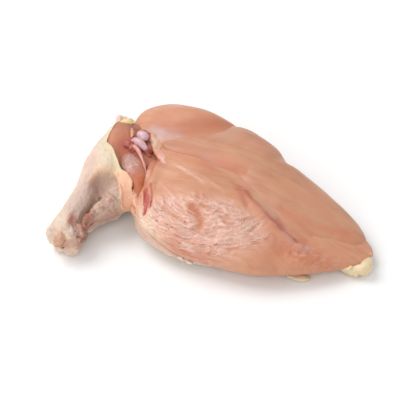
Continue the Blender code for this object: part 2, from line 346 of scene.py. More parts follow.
class Value:
    """A node's output that takes part in sums, so that the maths of nodes reads as maths."""

    def __init__(self, graph: Graph, socket: bpy.types.NodeSocket) -> None:
        """Wraps an output of a graph's node."""
        self.graph = graph
        self.socket = socket

    def _maths(self, operation: str, *values: Value | float) -> Value:
        """One Math node on these values."""
        return self.graph.add("ShaderNodeMath", {"operation": operation}, dict(enumerate(values)))

    def __add__(self, other: Value | float) -> Value:
        """The sum."""
        return self._maths("ADD", self, other)

    def __radd__(self, other: float) -> Value:
        """The sum."""
        return self._maths("ADD", other, self)

    def __sub__(self, other: Value | float) -> Value:
        """The difference."""
        return self._maths("SUBTRACT", self, other)

    def __rsub__(self, other: float) -> Value:
        """The difference from a number."""
        return self._maths("SUBTRACT", other, self)

    def __mul__(self, other: Value | float) -> Value:
        """The product."""
        return self._maths("MULTIPLY", self, other)

    def __rmul__(self, other: float) -> Value:
        """The product."""
        return self._maths("MULTIPLY", other, self)

    def __pow__(self, power: float) -> Value:
        """The power."""
        return self._maths("POWER", self, power)

    def clamp(self) -> Value:
        """The value held between 0 and 1."""
        settings = {"operation": "ADD", "use_clamp": True}
        return self.graph.add("ShaderNodeMath", settings, {0: self, 1: 0.0})

    def step(self, low: float, high: float) -> Value:
        """A soft step from 0 at low to 1 at high."""
        values = {"Value": self, "From Min": low, "From Max": high}
        return self.graph.add("ShaderNodeMapRange", {"interpolation_type": "SMOOTHSTEP"}, values)


class Graph:
    """A node tree, to which nodes are added with their settings and inputs."""

    def __init__(self, tree: bpy.types.NodeTree) -> None:
        """Wraps a tree."""
        self.tree = tree

    def node(self, kind: str, settings: dict | None = None, values: dict | None = None) -> bpy.types.Node:
        """Adds a node.

        Args:
            kind: The node's type.
            settings: Its own settings.
            values: A number, row, socket or wrapped output for each of its inputs, by name or number.

        Returns:
            The node.
        """
        node = self.tree.nodes.new(kind)
        for key, value in (settings or {}).items():
            setattr(node, key, value)
        for key, value in (values or {}).items():
            self.feed(node.inputs[key], value)
        return node

    def add(
        self, kind: str, settings: dict | None = None, values: dict | None = None, output: str | int = 0
    ) -> Value:
        """Adds a node and gives back one of its outputs, wrapped."""
        return Value(self, self.node(kind, settings, values).outputs[output])

    def feed(self, socket: bpy.types.NodeSocket, value: object) -> None:
        """Links or sets one input."""
        if isinstance(value, Value):
            value = value.socket
        if isinstance(value, bpy.types.NodeSocket):
            self.tree.links.new(value, socket)
        elif isinstance(value, tuple) and len(value) == 3 and socket.type == "RGBA":
            socket.default_value = (*value, 1)
        else:
            socket.default_value = value


class ShaderGraph(Graph):
    """A material's nodes, ending in one Principled shader."""

    def __init__(self, name: str) -> None:
        """Starts a material."""
        self.material = bpy.data.materials.new(name)
        self.material.use_nodes = True
        super().__init__(self.material.node_tree)
        self.shader = self.tree.nodes["Principled BSDF"]

    def mask(self, name: str, output: str = "Fac") -> Value:
        """A number that the mesh carries at each point."""
        return self.add("ShaderNodeAttribute", {"attribute_name": name}, output=output)

    def share(self, name: str, amount: Value) -> Value:
        """A mask times an amount, held between 0 and 1."""
        return (self.mask(name) * amount).clamp()

    def vector(self, name: str) -> Value:
        """A row of three numbers that the mesh carries at each point."""
        return self.mask(name, "Vector")

    def place(self) -> Value:
        """The place on the object, in metres."""
        return self.add("ShaderNodeTexCoord", output="Object")

    def noise(
        self, at: Value, scale: float, detail: float = 3.0, rough: float = 0.5, warp: float = 0.0
    ) -> Value:
        """Cloudy noise from 0 to 1."""
        values = {"Vector": at, "Scale": scale, "Detail": detail, "Roughness": rough, "Distortion": warp}
        return self.add("ShaderNodeTexNoise", {}, values, "Fac")

    def cells(self, at: Value, scale: float) -> Value:
        """The distance to the nearest of scattered points."""
        return self.add("ShaderNodeTexVoronoi", {}, {"Vector": at, "Scale": scale}, "Distance")

    def mix(self, amount: Value | float, low: Value | Colour, high: Value | Colour) -> Value:
        """A colour between two others."""
        settings = {"data_type": "RGBA", "clamp_factor": True}
        return self.add("ShaderNodeMix", settings, {0: amount, 6: low, 7: high}, 2)

    def bump(self, height: Value, depth: float, strength: float) -> Value:
        """A normal from a height of 0 to 1, which stands for a depth in metres and shows at a strength."""
        return self.add("ShaderNodeBump", {}, {"Height": height, "Distance": depth, "Strength": strength})

    def finish(self, constants: dict[str, float | Sequence[float]], **varying: Value) -> bpy.types.Material:
        """Sets the shader's inputs.

        Args:
            constants: What is the same all over, by socket name.
            varying: What changes over the surface, with _ for a space in the socket's name.

        Returns:
            The material.
        """
        named = {key.replace("_", " "): value for key, value in varying.items()}
        for key, value in (constants | named).items():
            self.feed(self.shader.inputs[key], value)
        return self.material


@dataclass(frozen=True)
class SoftLight:
    """How light spreads under a wet surface, and how strongly the surface mirrors."""

    weight: float
    colour: Colour
    depth: float
    mirror: float = 0.5

    def inputs(self) -> dict[str, float | Colour]:
        """The shader's inputs, by name."""
        return {
            "Subsurface Weight": self.weight,
            "Subsurface Radius": self.colour,
            "Subsurface Scale": self.depth,
            "Specular IOR Level": self.mirror,
        }


class Slot(Enum):
    """The record's material slots."""

    FLESH = "flesh"
    FILLET = "fillet_flesh"
    SKIN = "skin"
    WING = "wing_flesh"
    ARM = "arm_flesh"
    CARTILAGE = "cartilage"
    FAT = "fat"


@dataclass(frozen=True)
class FleshFinish:
    """Moist raw muscle with fibres. The mesh's masks put film, fat, blood and shade on it."""

    name: str
    slot: Slot
    pale: Colour
    deep: Colour
    warm: Colour = (0.58, 0.215, 0.115)
    film: Colour = (0.83, 0.54, 0.45)
    silver: Colour = (0.60, 0.42, 0.40)
    blood: Colour = (0.43, 0.055, 0.045)
    fat: Colour = (0.86, 0.66, 0.50)
    dark: Colour = (0.14, 0.035, 0.022)
    gloss: float = 0.42
    light: SoftLight = SoftLight(0.18, (1.0, 0.42, 0.28), 0.0028)

    def material(self) -> bpy.types.Material:
        """Builds the material."""
        g = ShaderGraph(self.name)
        place = g.place()
        fibre = g.vector("fibre")
        strands = g.noise(fibre, 1.0, 4.0, 0.6, 0.4)
        fine = g.noise(fibre, 3.2, 3.0, 0.6)
        blotch = g.noise(place, 70.0, 3.0, 0.55)
        cloud = g.noise(place, 22.0, 2.0)
        tone = (strands * 0.45 + blotch * 0.35 + cloud * 0.5 - 0.13).step(0.38, 0.64)
        colour = g.mix(tone, self.deep, self.pale)
        colour = g.mix(g.share("warm", 0.55 + blotch * 0.9), colour, self.warm)
        # The silver mask is silvery membrane, and on the arm muscle a painted sheen.
        colour = g.mix(g.share("silver", 0.5 + cloud * 0.9), colour, self.silver)
        web = g.noise(place, 420.0, 3.0, 0.6, 1.4)
        film = g.share("film", web * 0.9 + 0.4)
        colour = g.mix(film, colour, self.film)
        blood = g.share("blood", 0.6 + blotch * 0.8)
        colour = g.mix(blood, colour, self.blood)
        colour = g.mix(g.share("fat", 0.75 + blotch * 0.5), colour, self.fat)
        colour = g.mix(g.share("shade", 0.8 + blotch * 0.4), colour, self.dark)
        rough = self.gloss + (fine - 0.5) * 0.2 - film * 0.2 - blood * 0.12 + cloud * 0.1
        rise = strands * 0.5 + fine * 0.22 + film * 0.5 + web * g.mask("film") * 0.5
        normal = g.bump(rise, 0.0006, 0.75)
        return g.finish(self.light.inputs(), Base_Color=colour, Roughness=rough.clamp(), Normal=normal)


@dataclass(frozen=True)
class SkinFinish:
    """Loose raw poultry skin: cream, faintly pink, with follicles, and with fat and meat showing through."""

    name: str = "raw_skin"
    slot: Slot = Slot.SKIN
    cream: Colour = (0.74, 0.60, 0.47)
    pink: Colour = (0.72, 0.47, 0.38)
    mauve: Colour = (0.46, 0.30, 0.28)
    grey_and_shade: Colour = (0.35, 0.19, 0.13)
    fat: Colour = (0.74, 0.62, 0.38)
    peach: Colour = (0.90, 0.50, 0.33)
    raw: Colour = (0.42, 0.16, 0.11)
    blood: Colour = (0.42, 0.09, 0.06)
    light: SoftLight = SoftLight(0.2, (1.0, 0.6, 0.4), 0.002, 0.45)

    def material(self) -> bpy.types.Material:
        """Builds the material."""
        g = ShaderGraph(self.name)
        place = g.place()
        cloud = g.noise(place, 38.0, 3.0, 0.55)
        mottle = g.noise(place, 170.0, 3.0, 0.6)
        creases = g.noise(place, 520.0, 4.0, 0.65, 0.8)
        follicle = g.cells(place, 330.0)
        colour = g.mix((cloud.step(0.42, 0.7) * 0.55 + g.mask("pink")).clamp(), self.cream, self.pink)
        colour = g.mix(mottle.step(0.5, 0.8) * 0.3, colour, self.mauve)
        # The grey tint is partly painted shade, laid where the wing skin folds in.
        for mask, tint, base in (
            ("fat", self.fat, 0.6),
            ("mauve", self.mauve, 0.55),
            ("grey_and_shade", self.grey_and_shade, 0.5),
            ("peach", self.peach, 0.6),
            ("raw", self.raw, 0.55),
            ("blood", self.blood, 0.6),
        ):
            colour = g.mix(g.share(mask, base + mottle * 0.5 + cloud * 0.3), colour, tint)
        colour = g.mix((1 - follicle.step(0.0, 0.3)) * 0.1, colour, self.pink)
        rise = (1 - follicle.step(0.0, 0.5)) * 0.3 + creases * 0.45 + mottle * 0.4
        return g.finish(
            self.light.inputs(),
            Base_Color=colour,
            Roughness=(0.46 + (mottle - 0.5) * 0.3).clamp(),
            Normal=g.bump(rise, 0.0009, 0.8),
        )


@dataclass(frozen=True)
class GlossFinish:
    """Smooth wet tissue of one main colour, such as cartilage, tendon or a lump of fat."""

    name: str
    slot: Slot
    base: Colour
    tint: Colour
    roughness: float = 0.28
    spot_scale: float = 260.0
    relief: float = 0.0003
    blood: Colour = (0.40, 0.05, 0.04)
    light: SoftLight = SoftLight(0.25, (1.0, 0.55, 0.45), 0.002)

    def material(self) -> bpy.types.Material:
        """Builds the material."""
        g = ShaderGraph(self.name)
        place = g.place()
        cloud = g.noise(place, self.spot_scale * 0.4, 2.0)
        spots = g.noise(place, self.spot_scale, 3.0, 0.6)
        colour = g.mix((cloud * 0.9 + spots * 0.6 - 0.25).step(0.3, 0.8), self.base, self.tint)
        colour = g.mix(g.mask("blood"), colour, self.blood)
        return g.finish(
            self.light.inputs(),
            Base_Color=colour,
            Roughness=(self.roughness + (spots - 0.5) * 0.25).clamp(),
            Normal=g.bump(spots, self.relief, 0.8),
        )


Finish = FleshFinish | SkinFinish | GlossFinish


@dataclass
class Kitchen:
    """The finishes, each made once."""

    made: dict[str, bpy.types.Material] = field(default_factory=dict)

    def material(self, finish: Finish) -> bpy.types.Material:
        """A finish's material, which is built at its first use."""
        if finish.name not in self.made:
            self.made[finish.name] = finish.material()
        return self.made[finish.name]

    def dress(self, piece: bpy.types.Object, finish: Finish, *nodes: str) -> None:
        """Gives a piece its material and its body, and hides the solids that it stands for.

        Args:
            piece: The piece.
            finish: Its finish.
            nodes: The names of the solids that it replaces.
        """
        piece.data.materials.clear()
        piece.data.materials.append(self.material(finish))
        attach(piece, "root")
        if nodes:
            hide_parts(*nodes)


def surface_normals(points: Array, faces: Array) -> Array:
    """Unit normals at the points of a surface of quads.

    Args:
        points: One row for each point.
        faces: One row of four point numbers for each face.

    Returns:
        One unit row for each point.
    """
    corners = points[faces]
    facing = np.cross(corners[:, 2] - corners[:, 0], corners[:, 3] - corners[:, 1])
    total = np.zeros_like(points)
    for k in range(4):
        np.add.at(total, faces[:, k], facing)
    return total / np.maximum(np.linalg.norm(total, axis=1, keepdims=True), 1e-12)


def near_spots(points: Array, spots: Path, width: float) -> Array:
    """How close points are to a smooth path in space.

    Args:
        points: One row for each point, in units.
        spots: Points of the path, in units.
        width: The distance at which the closeness has fallen to a third.

    Returns:
        1 on the path, falling softly to 0 away from it.
    """
    line = path_points(spots, SPOT_SAMPLES) if len(spots) > 1 else np.array(spots)
    squared = np.full(len(points), FAR_AWAY)
    for spot in line:
        squared = np.minimum(squared, ((points - spot) ** 2).sum(1))
    return np.exp(-squared / width**2)


def flesh_masks(fibre: Array, **given: Array) -> dict[str, Array]:
    """The masks that the flesh finish reads, with 0 for those not given.

    Args:
        fibre: Rows for the fibre pattern.
        given: Masks by name.

    Returns:
        Every mask, held between 0 and 1.
    """
    names = ("film", "silver", "warm", "blood", "fat", "shade")
    zero = np.zeros(len(fibre))
    return {"fibre": fibre, **{name: np.clip(given.get(name, zero), 0, 1) for name in names}}


@dataclass(frozen=True)
class Stations:
    """Heights along the breast's long axis, which starts at the shoulder and is turned clockwise from +X."""

    places: tuple[float, ...] = (-3.5, 0.0, 3.0, 6.0, 9.0, 12.0, 14.5, 16.5)
    shoulder: tuple[float, float] = (-3.9, 2.1)
    turn_deg: float = 27.7

    def along(self, x: Array, y: Array) -> Array:
        """Distance from the shoulder along the axis."""
        turn = math.radians(self.turn_deg)
        return (x - self.shoulder[0]) * math.cos(turn) - (y - self.shoulder[1]) * math.sin(turn)

    def across(self, x: Array, y: Array) -> Array:
        """Distance from the axis towards the back."""
        turn = math.radians(self.turn_deg)
        return (x - self.shoulder[0]) * math.sin(turn) + (y - self.shoulder[1]) * math.cos(turn)

    def height(self, heights: Sequence[float]) -> Callable[[Array, Array], Array]:
        """A height over the plan from the heights at the stations."""
        curve = smooth_curve(self.places, heights)
        return lambda x, y: curve(self.along(x, y))

    def fibre(self, points: Array, length: float = 2.6, width: float = 0.34) -> Array:
        """Rows for a pattern drawn out along the muscle.

        Args:
            points: One row for each point, in units.
            length: The length of a streak, in units.
            width: The width of a streak, in units.

        Returns:
            One row for each point.
        """
        x, y, z = points.T
        sway = 0.35 * np.sin(self.along(x, y) * 0.55)
        return np.stack([self.along(x, y) / length, (self.across(x, y) + sway) / width, z / (width * 3)], 1)


AXIS = Stations()
SEAM: Path = (
    (-0.17, 0.23), (0.36, -0.25), (0.95, -0.73), (1.60, -1.19), (2.11, -1.65),
    (2.74, -2.47), (3.49, -3.49), (4.11, -4.11), (4.78, -4.85), (5.65, -5.35),
)


@dataclass(frozen=True)
class Flow:
    """A direction over the plan, blended from samples: place, bearing in degrees and reach."""

    samples: Path

    def bearing(self, x: Array, y: Array) -> tuple[Array, Array]:
        """The unit direction at a place in plan, as its two parts."""
        east, north = np.full(x.shape, 1e-9), np.zeros(x.shape)
        for px, py, degrees, reach in self.samples:
            weight = np.exp(-((x - px) ** 2 + (y - py) ** 2) / reach**2)
            east = east + weight * math.cos(math.radians(degrees))
            north = north + weight * math.sin(math.radians(degrees))
        length = np.hypot(east, north)
        return east / length, north / length

    def strands(self, points: Array, noise: Noise, grain: float, steps: int, stride: float) -> Array:
        """Noise smeared along the flow, which turns it into strands.

        Args:
            points: One row for each point, in units.
            noise: The field that is smeared.
            grain: The width of a strand, in units.
            steps: How many samples are taken each way.
            stride: The distance between samples, in units.

        Returns:
            A number from about -1 to 1 for each point.
        """
        total = noise.smooth(points / grain)
        for way in (1, -1):
            x, y = points[:, 0].copy(), points[:, 1].copy()
            for _ in range(steps):
                east, north = self.bearing(x, y)
                x += way * stride * east
                y += way * stride * north
                total += noise.smooth(np.stack([x, y, points[:, 2]], 1) / grain)
        return total / math.sqrt(1 + 2 * steps) * 1.3


@dataclass(frozen=True)
class Cushion:
    """A cushion-shaped muscle over a plan outline."""

    outline: Path
    middle: tuple[float, float]
    top: tuple[float, ...]
    rim: tuple[float, ...]
    under: tuple[float, ...]
    fullness: float
    back_drop: float = 0.0
    fine_rim: float = 0.93
    lower_rings: tuple[float, ...] = (0.985, 0.95, 0.88, 0.7, 0.45, 0.2)

    def rim_height(self, x: Array, y: Array) -> Array:
        """The height of the rim, which may be lower at the back."""
        return AXIS.height(self.rim)(x, y) - self.back_drop * ease(0.6, 3.2, AXIS.across(x, y))

    def reach(self, bearing: Array) -> Array:
        """How far the outline lies from the middle in the direction of a bearing."""
        offsets = np.array(self.outline) - np.array(self.middle)
        bearings = np.unwrap(np.arctan2(offsets[:, 1], offsets[:, 0]))
        reaches = np.hypot(offsets[:, 0], offsets[:, 1])
        curve = smooth_curve(
            np.concatenate([bearings[-3:] - TURN, bearings, bearings[:3] + TURN]),
            np.concatenate([reaches[-3:], reaches, reaches[:3]]),
        )
        return curve((bearing - bearings[0]) % TURN + bearings[0])

    def sheets(self, radius: Array, bearing: Array, relief: Relief) -> tuple[Array, Array]:
        """Points of the muscle's upper and lower sides.

        Args:
            radius: Distance from the middle, where 1 is the rim.
            bearing: Direction from the middle.
            relief: Rise of the upper side over the plan.

        Returns:
            Rows of upper and of lower points.
        """
        angle = radius * math.pi / 2
        spread = np.sin(angle) ** (2 / self.fullness) * self.reach(bearing)
        dome = np.cos(angle).clip(0, 1) ** (2 / self.fullness)
        x = self.middle[0] + spread * np.cos(bearing)
        y = self.middle[1] + spread * np.sin(bearing)
        rim = self.rim_height(x, y)
        upper = rim + (AXIS.height(self.top)(x, y) + relief(Plan(x, y)) - rim) * dome
        lower = rim - (rim - AXIS.height(self.under)(x, y)) * dome
        return np.stack([x, y, upper], 1), np.stack([x, y, lower], 1)

    def closed(
        self, divisions: int, relief: Relief, fine: Callable[[Array], Array]
    ) -> tuple[Array, list[list[int]]]:
        """The muscle with a fine upper side and a coarse lower one.

        Args:
            divisions: Cells along each side of the upper grid.
            relief: Broad rise of the upper side over the plan.
            fine: Fine rise along the normals for rows of points.

        Returns:
            The points and the faces.
        """
        radius, bearing, quads = disc_grid(divisions)
        upper, _ = self.sheets(radius, bearing, relief)
        hold = ease(1.0, self.fine_rim, radius)
        upper = upper + surface_normals(upper, quads) * (fine(upper) * hold)[:, None]
        rings = [upper]
        faces = quads.tolist()
        outer = rim = grid_rim(divisions)
        count = len(upper)
        for step in self.lower_rings:
            _, ring = self.sheets(np.full(len(rim), step), bearing[rim], relief)
            rings.append(ring)
            inner = np.arange(len(rim)) + count
            count += len(rim)
            faces += np.stack([np.roll(outer, -1), outer, inner, np.roll(inner, -1)], 1).tolist()
            outer = inner
        _, centre = self.sheets(np.zeros(1), np.zeros(1), relief)
        faces += [[int(b), int(a), count] for a, b in zip(outer, np.roll(outer, -1))]
        return np.concatenate([*rings, centre]), faces


@dataclass
class Muscle:
    """What the two large muscles share. Each gives its own relief, fine rise and masks."""

    name: str
    node: str
    finish: FleshFinish
    shape: Cushion
    divisions: int

    def build(self, kitchen: Kitchen) -> bpy.types.Object:
        """Makes and dresses the muscle.

        Args:
            kitchen: The finishes.

        Returns:
            The muscle.
        """
        points, faces = self.shape.closed(self.divisions, self.relief, self.fine)
        piece = mesh_piece(self.name, points, faces, self.masks(points))
        kitchen.dress(piece, self.finish, self.node)
        return piece


@dataclass
class Breast(Muscle):
    """The breast muscle, with its back lobe, the film and wrinkles over its rib side, and its seam lip.

    Broad and narrow strands of film are each given by their width, how many samples are taken each way along
    the flow, and the distance between samples.
    """

    name: str = "breast_flesh"
    node: str = "breast_muscle"
    finish: FleshFinish = FleshFinish(
        "breast_meat", Slot.FLESH, pale=(0.66, 0.34, 0.21), deep=(0.57, 0.25, 0.145)
    )
    shape: Cushion = Cushion(
        outline=(
            (10.65, -5.15), (9.75, -3.3), (8.5, -1.75), (6.0, 0.75), (3.6, 4.1), (1.2, 6.0), (-0.9, 7.45),
            (-3.1, 8.0), (-4.85, 6.9), (-5.1, 4.6), (-4.3, 2.4), (-4.2, 0.2), (-4.75, -1.9), (-4.3, -3.7),
            (-2.4, -5.5), (0.2, -6.6), (3.0, -7.3), (5.5, -7.15), (8.2, -6.6), (9.9, -5.95),
        ),
        middle=(1.8, -0.6),
        top=(3.0, 3.5, 3.6, 3.5, 3.1, 2.4, 1.7, 1.15),
        rim=(1.9, 1.8, 1.7, 1.6, 1.45, 1.2, 0.95, 0.7),
        under=(0.19,) * 8,
        fullness=2.7,
    )
    divisions: int = 260
    film_area: Path = (
        (-3.6, -2.6), (-1.1, -2.7), (1.5, -3.1), (3.6, -4.4), (3.5, -5.9), (1.4, -6.6), (-1.1, -6.2),
        (-2.7, -5.3), (-4.1, -3.9),
    )
    pit: Path = ((-1.05, -3.55), (-0.7, -3.85), (-0.5, -4.35), (-0.44, -4.7))
    pit_edge: Path = ((-1.3, -3.2), (-0.75, -3.32), (-0.3, -3.4), (0.3, -3.55))
    cleft: Path = ((4.5, -4.2), (4.9, -4.55), (5.4, -4.9), (6.0, -5.3))
    lip: Path = ((3.4, -2.8), (4.2, -3.9), (4.9, -4.95), (5.7, -5.65), (6.5, -5.85))
    fork: Path = ((2.05, -1.9), (2.3, -2.5), (2.5, -3.15))
    back_crease: Path = ((-3.4, 4.1), (-2.6, 3.9), (-1.7, 3.75), (-0.5, 3.75), (0.9, 4.1), (2.3, 4.6))
    flow: Flow = Flow(
        (
            (-3.9, -2.5, -78, 1.0), (-3.0, -3.6, -62, 1.1), (-2.0, -2.2, -40, 1.4), (-1.8, -4.6, -38, 1.2),
            (-2.4, -5.6, -30, 1.0), (-0.6, -3.0, -25, 1.2), (-0.4, -5.2, -8, 1.1), (0.2, -6.2, -8, 1.2),
            (1.0, -4.2, -20, 1.0), (1.2, -5.6, 6, 1.0), (1.6, -3.0, -35, 1.3), (2.4, -5.0, 62, 1.0),
            (3.2, -4.6, 78, 0.9), (3.2, -6.4, -5, 1.1), (0.0, 0.0, -42, 3.5), (6.0, -5.0, -30, 3.0),
        )
    )
    fine_lines: tuple[Path, ...] = (
        ((-1.9, 0.2), (-1.2, -0.55), (-0.5, -1.2), (0.0, -1.6)),
        ((-1.5, 0.0), (-0.2, -1.1), (1.1, -2.3)),
        ((-3.1, -1.2), (-2.6, -2.0), (-2.1, -2.8)),
        ((-2.2, 0.6), (-1.2, -0.5), (-0.2, -1.7)),
    )
    side_streaks: tuple[Path, ...] = (
        ((-4.25, -1.6), (-4.1, -2.7), (-3.85, -3.6), (-3.5, -4.5)),
        ((-3.65, -1.2), (-3.55, -2.2), (-3.45, -3.2)),
        ((-4.6, -2.6), (-4.3, -3.4), (-3.9, -4.2)),
    )
    slit_lines: tuple[Path, ...] = (
        ((-4.1, -1.5), (-4.05, -2.1), (-4.07, -2.6)),
        ((-3.98, -2.1), (-4.0, -2.7), (-4.08, -3.3)),
        ((-3.72, -1.3), (-3.64, -2.0), (-3.7, -2.9)),
    )
    slit_shares: tuple[float, ...] = (1.0, 1.0, 0.5)
    slit_width: float = 0.12
    film_softness: float = 0.75
    broad_strands: tuple[float, int, float] = (0.55, 4, 0.2)
    narrow_strands: tuple[float, int, float] = (0.24, 6, 0.1)
    seam: Path = SEAM

    def relief(self, plan: Plan) -> Array:
        """Broad rise of the upper side, as in the solids."""
        return (
            0.85 * plan.spot((-1.3, 5.4), (3.6, 1.6), -14)
            + 0.25 * plan.spot((-1.0, -2.3), (3.0, 2.2), -35)
            - 1.0 * plan.spot((-4.1, 1.9), (0.75, 0.85), 0)
            + 0.6 * plan.near(((-3.6, 0.9), (-3.65, 0.0), (-3.85, -0.9)), 0.5)
            - 0.25 * plan.spot((4.7, -6.1), (1.2, 0.7), 10)
            + 0.22 * plan.near(((2.4, -2.2), (3.6, -3.6), (4.6, -4.7), (5.7, -5.6)), 0.45)
        )

    def slits(self, plan: Plan) -> Array:
        """How close a place is to the short red slits at the left edge, from 0 to 1."""
        slits = zip(self.slit_lines, self.slit_shares)
        return sum(plan.near(line, self.slit_width) * share for line, share in slits).clip(0, 1)

    def film(self, plan: Plan) -> Array:
        """Where the thin shiny film lies, from 0 to 1."""
        return plan.inside(self.film_area, self.film_softness)

    def patch(self, plan: Plan) -> Array:
        """Where the wrinkled red patch lies near the tip, from 0 to 1."""
        return plan.spot((6.2, -6.2), (2.0, 0.7), -8)

    def strand(self, points: Array) -> Array:
        """Thin branching strands of film along the flow, from about -1 to 1."""
        broad = self.flow.strands(points, Noise(8), *self.broad_strands)
        narrow = self.flow.strands(points, Noise(9), *self.narrow_strands)
        thin = np.exp(-((broad / 0.16) ** 2)) + 0.8 * np.exp(-((narrow / 0.22) ** 2))
        return 1.1 * thin - 0.75 + 0.45 * narrow

    def fine(self, points: Array) -> Array:
        """Fine rise along the normals: fibres, wrinkles in the film, creases and the cleft."""
        plan = Plan(*points.T[:2])
        noise = Noise(7)
        rise = 0.018 * noise.smooth(AXIS.fibre(points)) + 0.04 * noise.fractal(points * 0.45, 2)
        rise += self.film(plan) * (0.06 * self.strand(points) + 0.08 * noise.smooth(points * 1.1))
        broken = (0.5 + 0.9 * noise.smooth(points * 1.3)).clip(0, 1.2) * ease(0.0, 2.6, plan.x)
        rise -= 0.18 * plan.near(self.seam, 0.19) * broken
        rise += 0.08 * plan.near(self.pit_edge, 0.16) - 0.14 * plan.near(self.pit, 0.34)
        rise -= 0.16 * plan.near(self.cleft, 0.2) * (0.6 + 0.6 * noise.smooth(points * 2.1))
        rise -= 0.1 * plan.near(self.fork, 0.2)
        rise += 0.05 * plan.near(self.lip, 0.25)
        rise -= 0.1 * plan.near(self.back_crease, 0.5)
        rise += 0.1 * self.patch(plan) * noise.ridges(points * 1.6)
        for line in self.fine_lines:
            rise += 0.035 * plan.near(line, 0.1)
        for line in self.side_streaks:
            rise += 0.09 * plan.near(line, 0.16)
        return rise - 0.12 * self.slits(plan)

    def masks(self, points: Array) -> dict[str, Array]:
        """What the flesh finish reads at each point."""
        x, y, z = points.T
        plan = Plan(x, y)
        noise = Noise(11)
        rag = noise.ragged(points * 0.9, 3)
        slits = self.slits(plan)
        blood = slits * (1.1 + rag) + 0.8 * plan.near(self.cleft, 0.32) * rag
        blood += 0.3 * plan.spot((-4.1, -2.2), (0.35, 1.0), 5) * rag
        blood += 0.3 * plan.near(self.fork, 0.24) + 0.4 * plan.near(self.seam, 0.2) * rag * ease(-0.5, 2.0, x)
        blood += 0.9 * plan.spot((-3.9, 1.3), (0.45, 1.0), -8)
        shoulder_film = plan.spot((-3.15, 3.5), (1.1, 0.55), -28)
        shoulder_film += 0.7 * plan.spot((-1.9, 3.0), (0.9, 0.3), -42)
        veil = plan.spot((-3.3, 3.85), (0.95, 0.32), -40)
        silver = 0.7 * shoulder_film * (0.3 + rag) + veil * (0.5 + 0.6 * rag)
        silver += 0.22 * plan.near(self.lip, 0.3)
        pit = plan.near(self.pit, 0.36)
        warm = 0.8 * pit + plan.near(self.back_crease, 0.95)
        warm += 0.5 * plan.near(((1.9, -2.4), (3.0, -3.4), (3.9, -4.5)), 0.5) + 0.4 * self.patch(plan)
        warm += 0.6 * plan.near(((-2.2, 1.7), (-1.2, 0.9), (0.3, 0.1)), 0.5)
        warm += 0.35 * plan.spot((-0.2, -5.9), (2.2, 0.6), -12)
        warm += (0.4 + 0.5 * rag) * plan.spot((5.8, -6.1), (4.0, 1.5), -8)
        warm += 0.35 * plan.spot((-1.0, 6.0), (4.0, 1.6), -14)
        warm += 0.6 * ease(2.9, 2.1, z - 0.3 * rag) * ease(1.5, -0.5, x)
        pale = sum(plan.near(line, 0.1) for line in self.fine_lines)
        pale = pale + sum(plan.near(line, 0.2) for line in self.side_streaks)
        edge_fat = plan.spot((-4.6, -2.9), (0.5, 2.4), 16) + plan.spot((-3.55, -4.95), (0.5, 1.3), 40)
        fat = edge_fat * rag + 0.6 * plan.spot((-3.45, 2.7), (0.32, 0.9), 12)
        fat = (fat + 0.4 * plan.spot((-4.0, -4.0), (0.4, 0.9), 20)) * (1 - slits)
        film = self.film(plan)
        strand = 0.5 + 0.5 * self.strand(points)
        gaps = film * (1 - strand).clip(0, 1)
        warm += 0.2 * gaps
        blood += 0.12 * gaps * rag
        film = film * (1.3 * strand + 0.5 * rag) * (1 - pit) + 0.55 * pale * rag * (1 - slits)
        film += 0.35 * veil * rag
        film += 0.35 * self.patch(plan) * ease(0.4, 0.8, noise.ridges(points * 1.6))
        east, north = self.flow.bearing(x, y)
        shade = 0.7 * plan.near(self.seam, 0.09) * rag * ease(1.0, 2.6, x) + 0.08 * plan.near(self.seam, 0.6)
        shade += 0.8 * plan.spot((-4.0, 0.75), (0.3, 0.5), 0) + 0.16 * plan.near(self.back_crease, 0.8)
        fibre = AXIS.fibre(points)
        masks = flesh_masks(fibre, film=film, blood=blood, silver=silver, warm=warm, fat=fat, shade=shade)
        return masks | {"flow": np.stack([east, north, 0 * x], 1)}



